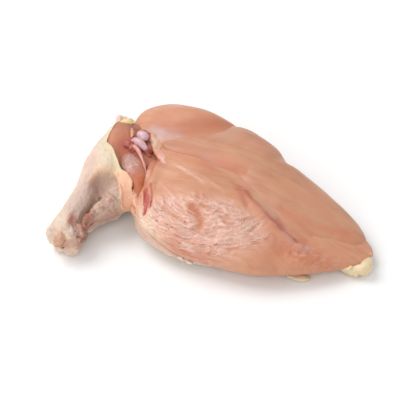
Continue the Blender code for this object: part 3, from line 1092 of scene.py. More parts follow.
@dataclass
class Fillet(Muscle):
    """The inner fillet: a long tapering muscle on the breast, with soft lengthwise furrows."""

    name: str = "fillet_flesh"
    node: str = "inner_fillet"
    finish: FleshFinish = FleshFinish(
        "fillet_meat", Slot.FILLET, pale=(0.59, 0.30, 0.185), deep=(0.50, 0.225, 0.13), gloss=0.38
    )
    shape: Cushion = Cushion(
        outline=(
            (10.2, -4.6), (9.98, -3.0), (8.7, -1.4), (6.15, 0.95), (4.9, 2.75), (3.7, 3.85), (2.0, 4.9),
            (0.2, 4.65), (-1.6, 3.8), (-2.95, 3.2), (-3.0, 2.4), (-1.4, 1.0), (0.9, -0.5), (2.2, -1.6),
            (4.6, -4.1), (6.3, -5.1), (8.4, -5.2),
        ),
        middle=(3.4, 0.4),
        top=(3.3, 3.6, 3.95, 3.9, 3.45, 2.7, 1.95, 1.35),
        rim=(3.2, 3.2, 2.9, 2.65, 2.3, 1.75, 1.15, 0.8),
        under=(1.7, 1.6, 1.5, 1.4, 1.2, 1.0, 0.8, 0.6),
        fullness=2.5,
        back_drop=0.55,
    )
    divisions: int = 190
    furrows: tuple[Path, ...] = (
        ((4.9, -3.1), (6.4, -3.8), (7.8, -4.2), (9.1, -4.35)),
        ((3.5, -2.8), (5.9, -4.15), (7.1, -4.8), (8.9, -5.0)),
        ((2.6, -0.6), (4.4, -2.0), (6.4, -3.0), (8.4, -3.6)),
    )
    seam: Path = SEAM

    def relief(self, plan: Plan) -> Array:
        """Broad rise of the upper side, as in the solids."""
        return (
            -0.12 * plan.near(((4.8, -3.1), (6.4, -4.0), (8.0, -4.5)), 0.3)
            + 0.12 * plan.spot((1.5, 1.5), (3.0, 1.0), -45)
            + 0.15 * plan.spot((-1.6, 2.9), (0.9, 0.5), -40)
        )

    def fine(self, points: Array) -> Array:
        """Fine rise along the normals: fibre bundles and furrows."""
        plan = Plan(*points.T[:2])
        noise = Noise(21)
        rise = 0.035 * noise.smooth(AXIS.fibre(points, 5.0, 0.8)) + 0.015 * noise.smooth(AXIS.fibre(points))
        rise += 0.03 * noise.fractal(points * 0.4, 2)
        for line in self.furrows:
            rise -= 0.05 * plan.near(line, 0.22)
        return rise

    def masks(self, points: Array) -> dict[str, Array]:
        """What the flesh finish reads at each point."""
        plan = Plan(*points.T[:2])
        noise = Noise(23)
        rag = noise.ragged(points * 0.7, 2)
        blood = 0.4 * plan.near(self.seam, 0.2) * rag + 0.24 * plan.near(self.seam, 0.8)
        silver = 0.25 * plan.near(self.seam, 0.6) + 0.15 * plan.spot((-1.9, 3.1), (1.2, 0.45), -32)
        silver += 0.1 * plan.spot((0.6, 3.6), (2.0, 0.6), -20)
        furrow = sum(plan.near(line, 0.3) for line in self.furrows[:2])
        streak = ease(0.0, 0.45, noise.smooth(AXIS.fibre(points, 4.5, 0.6)))
        warm = 0.5 * furrow + 0.3 * plan.spot((9.2, -4.6), (1.5, 0.6), -30) + 0.3 * streak
        warm += 0.8 * plan.near(((-1.8, 1.7), (-0.8, 1.1), (0.5, 0.5), (2.1, -0.4)), 0.55)
        shade = 0.2 * plan.spot((-0.8, 1.0), (1.6, 0.7), -35) + 0.12 * plan.spot((2.2, 3.4), (1.8, 0.6), -20)
        return flesh_masks(
            AXIS.fibre(points, 3.4, 0.42),
            blood=blood * ease(-0.5, 2.0, plan.x),
            silver=(silver * (0.7 + 0.5 * rag)).clip(0, 0.85),
            warm=warm.clip(0, 0.8),
            shade=shade,
        )


def rim_edges(faces: Array, rims: Sequence[Array]) -> list[list[tuple[int, int]]]:
    """The edges along open rims.

    Args:
        faces: The faces of the surface.
        rims: The point numbers along each rim, in order.

    Returns:
        For each rim its edges, in the direction in which the faces run along them.
    """
    directed = set(zip(faces.ravel().tolist(), np.roll(faces, -1, axis=1).ravel().tolist()))
    edges = [zip(rim.tolist(), np.roll(rim, -1).tolist()) for rim in rims]
    return [[edge if edge in directed else edge[::-1] for edge in rim] for rim in edges]


def shell(
    outer: Array, faces: Array, depth: Array | float, rims: Sequence[Array]
) -> tuple[Array, list[list[int]]]:
    """Turns a sheet into a thin closed skin.

    Args:
        outer: Points of the side that shows.
        faces: Its faces, which look outwards.
        depth: The thickness at each point.
        rims: The point numbers along each open edge, in order.

    Returns:
        The points and the faces of the closed skin.
    """
    inner = outer - surface_normals(outer, faces) * np.broadcast_to(np.asarray(depth), len(outer))[:, None]
    count = len(outer)
    closed = [*faces.tolist(), *(faces[:, ::-1] + count).tolist()]
    for rim in rim_edges(faces, rims):
        closed += [[b, a, a + count, b + count] for a, b in rim]
    return np.concatenate([outer, inner]), closed


def fanned(points: Array, faces: Array, rims: Sequence[Array]) -> tuple[Array, list[list[int]]]:
    """Closes the open edges of a surface with fans round their middles.

    Args:
        points: One row for each point.
        faces: The faces, which look outwards.
        rims: The point numbers along each open edge, in order.

    Returns:
        The points and the faces of the closed body.
    """
    closed = faces.tolist()
    for rim, edges in zip(rims, rim_edges(faces, rims)):
        closed += [[b, a, len(points)] for a, b in edges]
        points = np.concatenate([points, points[rim].mean(0)[None]])
    return points, closed


@dataclass
class BreastSkin:
    """The breast's skin: it lies under the muscle and turns up round its rim in places."""

    bearings_deg: tuple[float, ...] = (
        -180, -150, -136, -122, -105, -60, -30, -15, 30, 60, 90, 120, 135, 150, 180,
    )
    cover: tuple[float, ...] = (
        1.02, 1.05, 0.97, 0.82, 0.72, 0.7, 0.8, 0.78, 0.84, 0.88, 0.9, 0.94, 1.0, 1.03, 1.02,
    )
    lift: float = 0.05
    divisions: int = 130

    def build(self, kitchen: Kitchen, breast: Breast) -> None:
        """Makes and dresses the skin.

        Args:
            kitchen: The finishes.
            breast: The muscle that it covers.
        """
        radius, bearing, quads = disc_grid(self.divisions)
        noise = Noise(31)
        ragged = 0.02 * noise.fractal(circle(bearing) * 9, 3)
        cover = (smooth_curve(np.radians(self.bearings_deg), self.cover)(bearing) + ragged * radius) * radius
        folded = np.where(cover > 1, 2 - cover, cover)
        upper, lower = breast.shape.sheets(folded, bearing, breast.relief)
        sheet = np.where(cover[:, None] > 1, upper, lower)
        faces = quads[:, ::-1]
        wrinkle = 0.05 * noise.fractal(sheet * (1.2, 1.2, 2.0), 3) + 0.035 * noise.ridges(sheet * 1.7)
        thin = ease(1.0, 0.9, radius)
        rise = self.lift + (SKIN_THICKNESS + wrinkle) * (0.45 + 0.55 * thin)
        outer = on_table(sheet + surface_normals(sheet, faces) * rise[:, None])
        points, closed = shell(outer, faces, SKIN_THICKNESS + 0.06, [grid_rim(self.divisions)])
        points = on_table(points)
        both = np.tile(radius, 2)
        rag = noise.ragged(points * 0.8, 2)
        masks = {
            "pink": (0.25 + 0.9 * rag * ease(0.7, 0.95, both)).clip(0, 1),
            "fat": 0.2 * rag,
            "raw": (0.5 * noise.fractal(points * 1.3, 3) * ease(0.8, 0.95, both)).clip(0, 0.6),
        }
        kitchen.dress(mesh_piece("breast_skin", points, closed, masks), SkinFinish(), "skin")


@dataclass
class Wing:
    """The first wing joint: its loose skin, open at the shoulder, and the meat inside it.

    A section holds the plan places of its outer and inner sides, and its lowest and highest height. The
    skin's folds and areas have a name, a width and a path of places on the sections and angles in degrees.
    """

    sections: Path = (
        (-3.4, 5.5, -3.4, -2.2, 0.75, 2.7),
        (-6.0, 5.95, -5.3, -2.0, 0.2, 3.7),
        (-7.3, 4.0, -5.95, -2.5, 0.05, 3.8),
        (-8.25, 2.0, -6.6, -2.7, 0.1, 3.5),
        (-8.7, -0.1, -7.35, -3.05, 0.15, 3.05),
        (-9.45, -1.75, -7.95, -3.6, 0.1, 2.6),
        (-10.2, -3.25, -8.2, -4.6, 0.0, 2.4),
        (-10.7, -4.35, -8.65, -5.3, 0.05, 2.25),
    )
    fullness: float = 2.3
    hollow_middles: tuple[float, ...] = (0.6, 0.56, 0.52, 0.5, 0.54, 0.58, 0.55, 0.5)
    hollow_depths: tuple[float, ...] = (0.0, 0.15, 0.9, 1.3, 1.15, 0.8, 0.4, 0.1)
    hollow_width: float = 0.3
    neck_deg: tuple[float, ...] = (-180, -160, -35, -20, 0, 20, 40, 56, 66, 80, 94, 114, 132, 150, 168, 180)
    neck_places: tuple[float, ...] = (
        0.5, 0.15, 0.15, 0.45, 0.62, 0.7, 0.74, 0.84, 1.18, 1.4, 1.6, 1.85, 1.5, 1.05, 0.85, 0.5,
    )
    skin_end: float = 6.8
    meat_end: float = 6.75
    pucker: float = 0.5
    pucker_past: float = 0.05
    pucker_pull: float = 0.72
    skin_grid: tuple[int, int] = (190, 210)
    meat_grid: tuple[int, int] = (130, 130)
    chart_place: float = 2.0
    chart_degrees: float = 26.0
    folds: tuple[tuple[str, float, Path], ...] = (
        ("arch", 0.18, ((3.7, 92), (3.1, 89), (2.8, 88), (2.25, 82), (1.8, 74), (1.5, 62))),
        ("side", 0.14, ((1.5, 62), (1.44, 48), (1.32, 32), (1.42, 22), (1.35, 0))),
        ("upper", 0.1, ((3.25, 69), (3.0, 68), (2.5, 60), (2.05, 52), (1.6, 44))),
        ("lower", 0.11, ((3.3, 66), (2.85, 60), (2.55, 44), (2.1, 28), (1.75, 16))),
        ("crease", 0.3, ((3.1, 64), (3.75, 62), (4.2, 57), (4.8, 50), (5.5, 38), (6.0, 32))),
        ("outer", 0.2, ((3.9, 78), (4.55, 76), (5.05, 74), (5.45, 73))),
        ("lobe", 0.75, ((2.3, 22), (2.8, 26), (3.3, 32), (3.9, 36), (4.55, 36), (5.3, 26))),
        ("low", 0.6, ((4.2, 24), (4.8, 27), (5.5, 24))),
        ("under_lobe", 0.6, ((2.0, -8), (3.2, -8), (4.6, -3), (5.4, 3))),
        ("top", 0.7, ((3.6, 88), (3.2, 84))),
        ("back", 1.2, ((4.2, 90), (5.2, 86))),
        ("bruise", 0.35, ((5.45, 80), (5.7, 80))),
    )
    areas: tuple[tuple[str, float, Path], ...] = (
        (
            "hollow",
            0.3,
            ((3.5, 86), (2.8, 85), (2.25, 79), (1.75, 71), (1.5, 58), (1.5, 46), (2.05, 55), (3.1, 70)),
        ),
        (
            "web",
            0.2,
            ((3.2, 67), (2.6, 57), (1.9, 46), (1.5, 40), (1.45, 26), (1.9, 22), (2.4, 40), (2.8, 58)),
        ),
    )

    def surface(self, place: Array, angle: Array) -> Array:
        """Points of the wing's outside, where the angle goes round from the breast's side over the top."""
        sections = curve_through(self.sections)(place)
        outer, inner, low, high = sections[..., 0:2], sections[..., 2:4], sections[..., 4], sections[..., 5]
        across = np.sign(np.cos(angle)) * np.abs(np.cos(angle)) ** (2 / self.fullness)
        up = np.sign(np.sin(angle)) * np.abs(np.sin(angle)) ** (2 / self.fullness)
        plan = (outer + inner) / 2 + (inner - outer) / 2 * across[..., None]
        height = (low + high) / 2 + (high - low) / 2 * up
        middle = curve_through(self.hollow_middles)(place)
        depth = curve_through(self.hollow_depths)(place)
        height = height - depth * up.clip(0) * np.exp(-(((across - middle) / self.hollow_width) ** 2))
        return np.concatenate([plan, height[..., None]], -1)

    def neckline(self, angle: Array) -> Array:
        """The place where the skin starts at an angle."""
        turned = (np.degrees(angle) + 180) % 360 - 180
        return smooth_curve(self.neck_deg, self.neck_places)(turned)

    def charted(self, path: Path) -> list[tuple[float, float]]:
        """Turns places and degrees into a flat chart in which one unit is about one unit of skin."""
        return [(place * self.chart_place, degrees / self.chart_degrees) for place, degrees in path]

    def sleeve(self, start: Array | float, end: float, rings: int, sides: int) -> tuple[Array, ...]:
        """A tube on the wing's surface, drawn together at the cut end.

        Args:
            start: Its first place at each side.
            end: Its last place.
            rings: How many rings.
            sides: Points on each ring.

        Returns:
            The points, the quads, which look outwards, and the normal, place and angle of each point.
        """
        first = np.broadcast_to(start, (sides,))
        place = first + (end - first) * np.linspace(0, 1, rings)[:, None]
        angle = np.broadcast_to(np.arange(sides) * TURN / sides, place.shape)
        points = self.surface(place, angle)
        pull = ease(end - self.pucker, end + self.pucker_past, place) ** 2 * self.pucker_pull
        points = (points + (points.mean(1, keepdims=True) - points) * pull[..., None]).reshape(-1, 3)
        quads = np.array(tube_faces(rings, sides, closed_ends=False))[:, ::-1]
        facing = surface_normals(points, quads)
        if (facing[:, 2] * np.sin(angle.ravel())).sum() < 0:
            quads, facing = quads[:, ::-1], -facing
        return points, quads, facing, place.ravel(), angle.ravel()

    def skin(self, kitchen: Kitchen) -> bpy.types.Object:
        """Makes and dresses the loose skin."""
        rings, sides = self.skin_grid
        noise = Noise(41)
        angles = np.arange(sides) * TURN / sides
        neck = self.neckline(angles) + 0.05 * noise.fractal(circle(angles) * 5.5, 3)
        points, quads, facing, place, angle = self.sleeve(neck, self.skin_end, rings, sides)
        degrees = (np.degrees(angle) + 90) % 360 - 90
        chart = Plan(place * self.chart_place, degrees / self.chart_degrees)
        near = {name: chart.near(self.charted(path), width) for name, width, path in self.folds}
        near |= {name: chart.inside(self.charted(outline), edge) for name, edge, outline in self.areas}
        from_neck = place - self.neckline(angle)
        upper = ease(-0.1, 0.4, np.sin(angle))
        cut = ease(5.6, 6.7, place)
        stretched = np.stack([place * 0.9, np.cos(angle) * 2.2, np.sin(angle) * 2.2], 1)
        rise = 0.06 * noise.fractal(stretched, 2) + 0.04 * noise.ridges(points * 1.1) * (0.3 + cut)
        rise += 0.15 * near["upper"] + 0.19 * near["lower"] + 0.1 * near["outer"] + 0.1 * near["side"]
        rise += 0.12 * near["arch"] - 0.27 * near["crease"] - 0.13 * near["hollow"] - 0.1 * near["web"]
        lumps = 0.1 + 0.16 * noise.fractal(points * 1.5, 4) + 0.12 * noise.ridges(stretched * 2.6)
        rise += near["lobe"] * lumps
        rise += 0.05 * noise.ridges(stretched * 2.2) * ease(1.2, 2.4, place)
        rise += cut * (0.16 * noise.fractal(points * 1.3, 3) + 0.1 * noise.ridges(points * 1.4) - 0.05)
        rolled = np.exp(-((from_neck / 0.1) ** 2)) * ease(0.75, 0.95, np.sin(angle + 0.3))
        rise += 0.06 * rolled
        outer = on_table(points + facing * rise[:, None])
        depth = SKIN_THICKNESS * (0.5 + 0.5 * ease(0.0, 0.3, from_neck)) + 0.14 * rolled
        shelled, faces = shell(outer, quads, depth, numbered(rings, sides)[[0, -1]])
        rag = noise.ragged(points * 0.8, 3)
        fine_rag = noise.ragged(points * 1.8, 3)
        grain = 0.5 + 0.7 * noise.fractal(stretched * 2.6, 3)
        specks = ease(0.05, 0.4, noise.fractal(points * 7.5, 2))
        inner = ease(1.6, 1.35, place) * ease(66, 58, degrees) * ease(-40, -20, degrees)
        raw = ease(5.2, 5.7, place) * ease(60, 40, degrees) * ease(-30, 0, degrees)
        # Painted shade: the grey mask darkens the hollow, the web and the crease; it also darkens the lobes
        # and the low fold.
        masks = {
            "grey_and_shade": 0.42 * near["hollow"] + 0.35 * near["web"] + 0.75 * near["crease"]
            + 0.5 * near["under_lobe"] + 0.2 * near["lobe"] * (1 - grain) + 0.7 * near["low"],
            "mauve": 0.5 * near["web"] + 0.3 * near["hollow"] + 0.45 * near["top"] + 0.5 * near["back"]
            + 0.35 * rag * ease(40, 20, degrees) * ease(1.8, 2.4, place) + 0.5 * near["lobe"] * rag,
            "pink": 0.25 * rag * ease(1.8, 3.5, place) + 0.5 * near["side"] + 0.4 * near["upper"]
            + 0.8 * inner * fine_rag,
            "fat": (0.9 * np.exp(-((from_neck / 0.35) ** 2)) + 0.2) * upper * ease(3.0, 1.0, place)
            + 0.6 * near["arch"],
            "peach": (0.7 + 0.8 * rag) * inner + 0.4 * near["arch"]
            + 0.45 * ease(6.0, 6.6, place) * ease(120, 90, degrees) * rag,
            "raw": 0.9 * raw * fine_rag + near["lobe"] * (grain**2 * 1.3 + 0.35 * specks)
            + (0.9 * near["low"] + 0.8 * near["under_lobe"]) * fine_rag,
            "blood": 0.85 * near["bruise"],
        }
        masks = {name: np.tile(values.clip(0, 1), 2) for name, values in masks.items()}
        piece = mesh_piece("wing_skin", on_table(shelled), faces, masks)
        kitchen.dress(piece, SkinFinish(), "skin")
        return piece

    def meat(self, kitchen: Kitchen) -> None:
        """Makes and dresses the meat inside the skin, which shows at the shoulder and at the cut end."""
        rings, sides = self.meat_grid
        noise = Noise(43)
        points, quads, facing, place, angle = self.sleeve(0.0, self.meat_end, rings, sides)
        inset = SKIN_THICKNESS - 0.12
        inset = inset + 0.5 * ease(0.0, 0.4, place - self.neckline(angle)) * ease(6.6, 5.6, place)
        arm_side = ((-5.9, 2.0, 3.1), (-5.4, 1.0, 3.2), (-5.0, 0.0, 3.1), (-4.9, -1.2, 2.6))
        inset += 0.7 * near_spots(points, arm_side, 0.75)
        rise = 0.05 * noise.fractal(points * 0.8, 3) - inset
        points = on_table(points + facing * rise[:, None], 0.02)
        points, faces = fanned(points, quads, numbered(rings, sides)[[0, -1]])
        fibre = np.stack([points[:, 1] * 0.5, points[:, 0] * 2.4, points[:, 2] * 2.4], 1)
        rag = noise.ragged(points, 2)
        blood = 0.5 * near_spots(points, ((-5.6, 2.6, 3.1), (-5.3, 1.9, 3.2)), 0.6)
        fat = ease(-3.9, -4.4, points[:, 1]) * (0.55 + 0.6 * rag)
        shade = 0.5 * near_spots(points, ((-5.3, 4.6, 2.9), (-4.8, 4.2, 2.9), (-4.3, 3.8, 2.8)), 0.45)
        masks = flesh_masks(fibre, blood=blood, warm=0.45 + 0.3 * rag, shade=shade, fat=fat)
        finish = FleshFinish("wing_meat", Slot.WING, pale=(0.50, 0.24, 0.155), deep=(0.37, 0.14, 0.09))
        kitchen.dress(mesh_piece("wing_flesh", points, faces, masks), finish, "wing_meat")

    def build(self, kitchen: Kitchen) -> bpy.types.Object:
        """Makes and dresses the whole wing joint.

        Args:
            kitchen: The finishes.

        Returns:
            Its skin.
        """
        skin = self.skin(kitchen)
        self.meat(kitchen)
        return skin



@dataclass(frozen=True)
class Limb:
    """A round-ended body along a smooth spine."""

    spine: Path
    radii: tuple[float, ...]
    flatten: float = 1.0
    lumps: float = 0.0
    lump_size: float = 0.6
    seed: int = 5
    rings: int = 44
    sides: int = 30
    end_share: float = 0.985
    end_power: float = 0.6
    look_ahead: float = 0.01

    def mesh(self) -> tuple[Array, list[list[int]]]:
        """The body's points and faces, in units."""
        spine_at = curve_through(self.spine)
        radius_at = curve_through(self.radii)
        last = len(self.spine) - 1
        points = []
        for turn in np.linspace(-self.end_share, self.end_share, self.rings) * math.pi / 2:
            place = (1 + math.sin(turn)) / 2 * last
            before, after = max(place - self.look_ahead, 0), min(place + self.look_ahead, last)
            ahead = Vector(spine_at(after) - spine_at(before)).normalized()
            side = ahead.cross(Vector((0, 0, 1))).normalized()
            up = side.cross(ahead)
            radius = float(radius_at(place)) * math.cos(turn) ** self.end_power
            centre = Vector(spine_at(place))
            for k in range(self.sides):
                angle = TURN * k / self.sides
                offset = side * math.cos(angle) + up * math.sin(angle) * self.flatten
                points.append(centre + offset * radius)
        points = np.array(points)
        if self.lumps:
            axis = np.repeat(points.reshape(self.rings, self.sides, 3).mean(1), self.sides, 0)
            away = points - axis
            away /= np.maximum(np.linalg.norm(away, axis=1, keepdims=True), 1e-9)
            points += away * (self.lumps * Noise(self.seed).fractal(points / self.lump_size, 3))[:, None]
        return on_table(points), tube_faces(self.rings, self.sides)

    def streaks(self, along: float, around: float) -> Array:
        """Rows for a pattern drawn out along the spine.

        Args:
            along: How many streaks long the body is.
            around: How many streaks wide it is.

        Returns:
            One row for each point.
        """
        rows = np.tile(circle(np.arange(self.sides) * TURN / self.sides) * around, (self.rings, 1))
        place = np.repeat(np.linspace(0, along, self.rings), self.sides)
        return np.column_stack([place, rows[:, :2]])


class Tissue(Enum):
    """The finishes of the small pieces."""

    WHITE = GlossFinish("joint_white", Slot.CARTILAGE, (0.72, 0.50, 0.53), (0.58, 0.33, 0.36))
    SINEW = GlossFinish("sinew", Slot.ARM, (0.76, 0.42, 0.36), (0.66, 0.24, 0.19), 0.32)
    RED = GlossFinish("red_tissue", Slot.WING, (0.50, 0.155, 0.115), (0.34, 0.06, 0.045), 0.3, 420.0)
    PINK = GlossFinish("breast_edge_meat", Slot.FLESH, (0.62, 0.30, 0.20), (0.56, 0.20, 0.13), 0.4)
    TENDON = GlossFinish("tendon", Slot.FLESH, (0.76, 0.45, 0.37), (0.70, 0.30, 0.22), 0.35)
    CREAM = GlossFinish("cream_fat", Slot.FAT, (0.74, 0.50, 0.37), (0.66, 0.34, 0.22), 0.35)
    TAN = GlossFinish("tan_fat", Slot.FAT, (0.68, 0.37, 0.22), (0.66, 0.29, 0.16), 0.35)
    ORANGE = GlossFinish("orange_fat", Slot.FAT, (0.70, 0.33, 0.18), (0.66, 0.42, 0.29), 0.35, 420.0, 0.0008)
    BUFF = GlossFinish("wing_end_fat", Slot.FAT, (0.66, 0.42, 0.30), (0.58, 0.30, 0.19), 0.35)
    YELLOW = GlossFinish("yellow_fat", Slot.FAT, (0.78, 0.62, 0.36), (0.76, 0.52, 0.26), 0.35)
    CREAM_FAT = GlossFinish("tip_fat_cream", Slot.FAT, (0.78, 0.64, 0.45), (0.76, 0.55, 0.30), 0.35)
    PEACH = GlossFinish("armpit_skin", Slot.SKIN, (0.76, 0.42, 0.29), (0.76, 0.52, 0.40), 0.38, 420.0, 0.0008)
    BLUSH = GlossFinish("pink_skin", Slot.SKIN, (0.76, 0.55, 0.46), (0.78, 0.64, 0.54), 0.4)
    GRISTLE = GlossFinish("wing_end_cartilage", Slot.SKIN, (0.60, 0.47, 0.43), (0.50, 0.32, 0.27), 0.35)
    MEAT = GlossFinish(
        "wing_end_meat", Slot.WING, (0.33, 0.14, 0.095), (0.56, 0.34, 0.27), 0.35, 480.0, 0.001
    )


@dataclass(frozen=True)
class Scrap:
    """A small round piece: its name, finish and shape, and the solids that it stands for, if any."""

    name: str
    tissue: Tissue
    limb: Limb
    nodes: tuple[str, ...] = ()


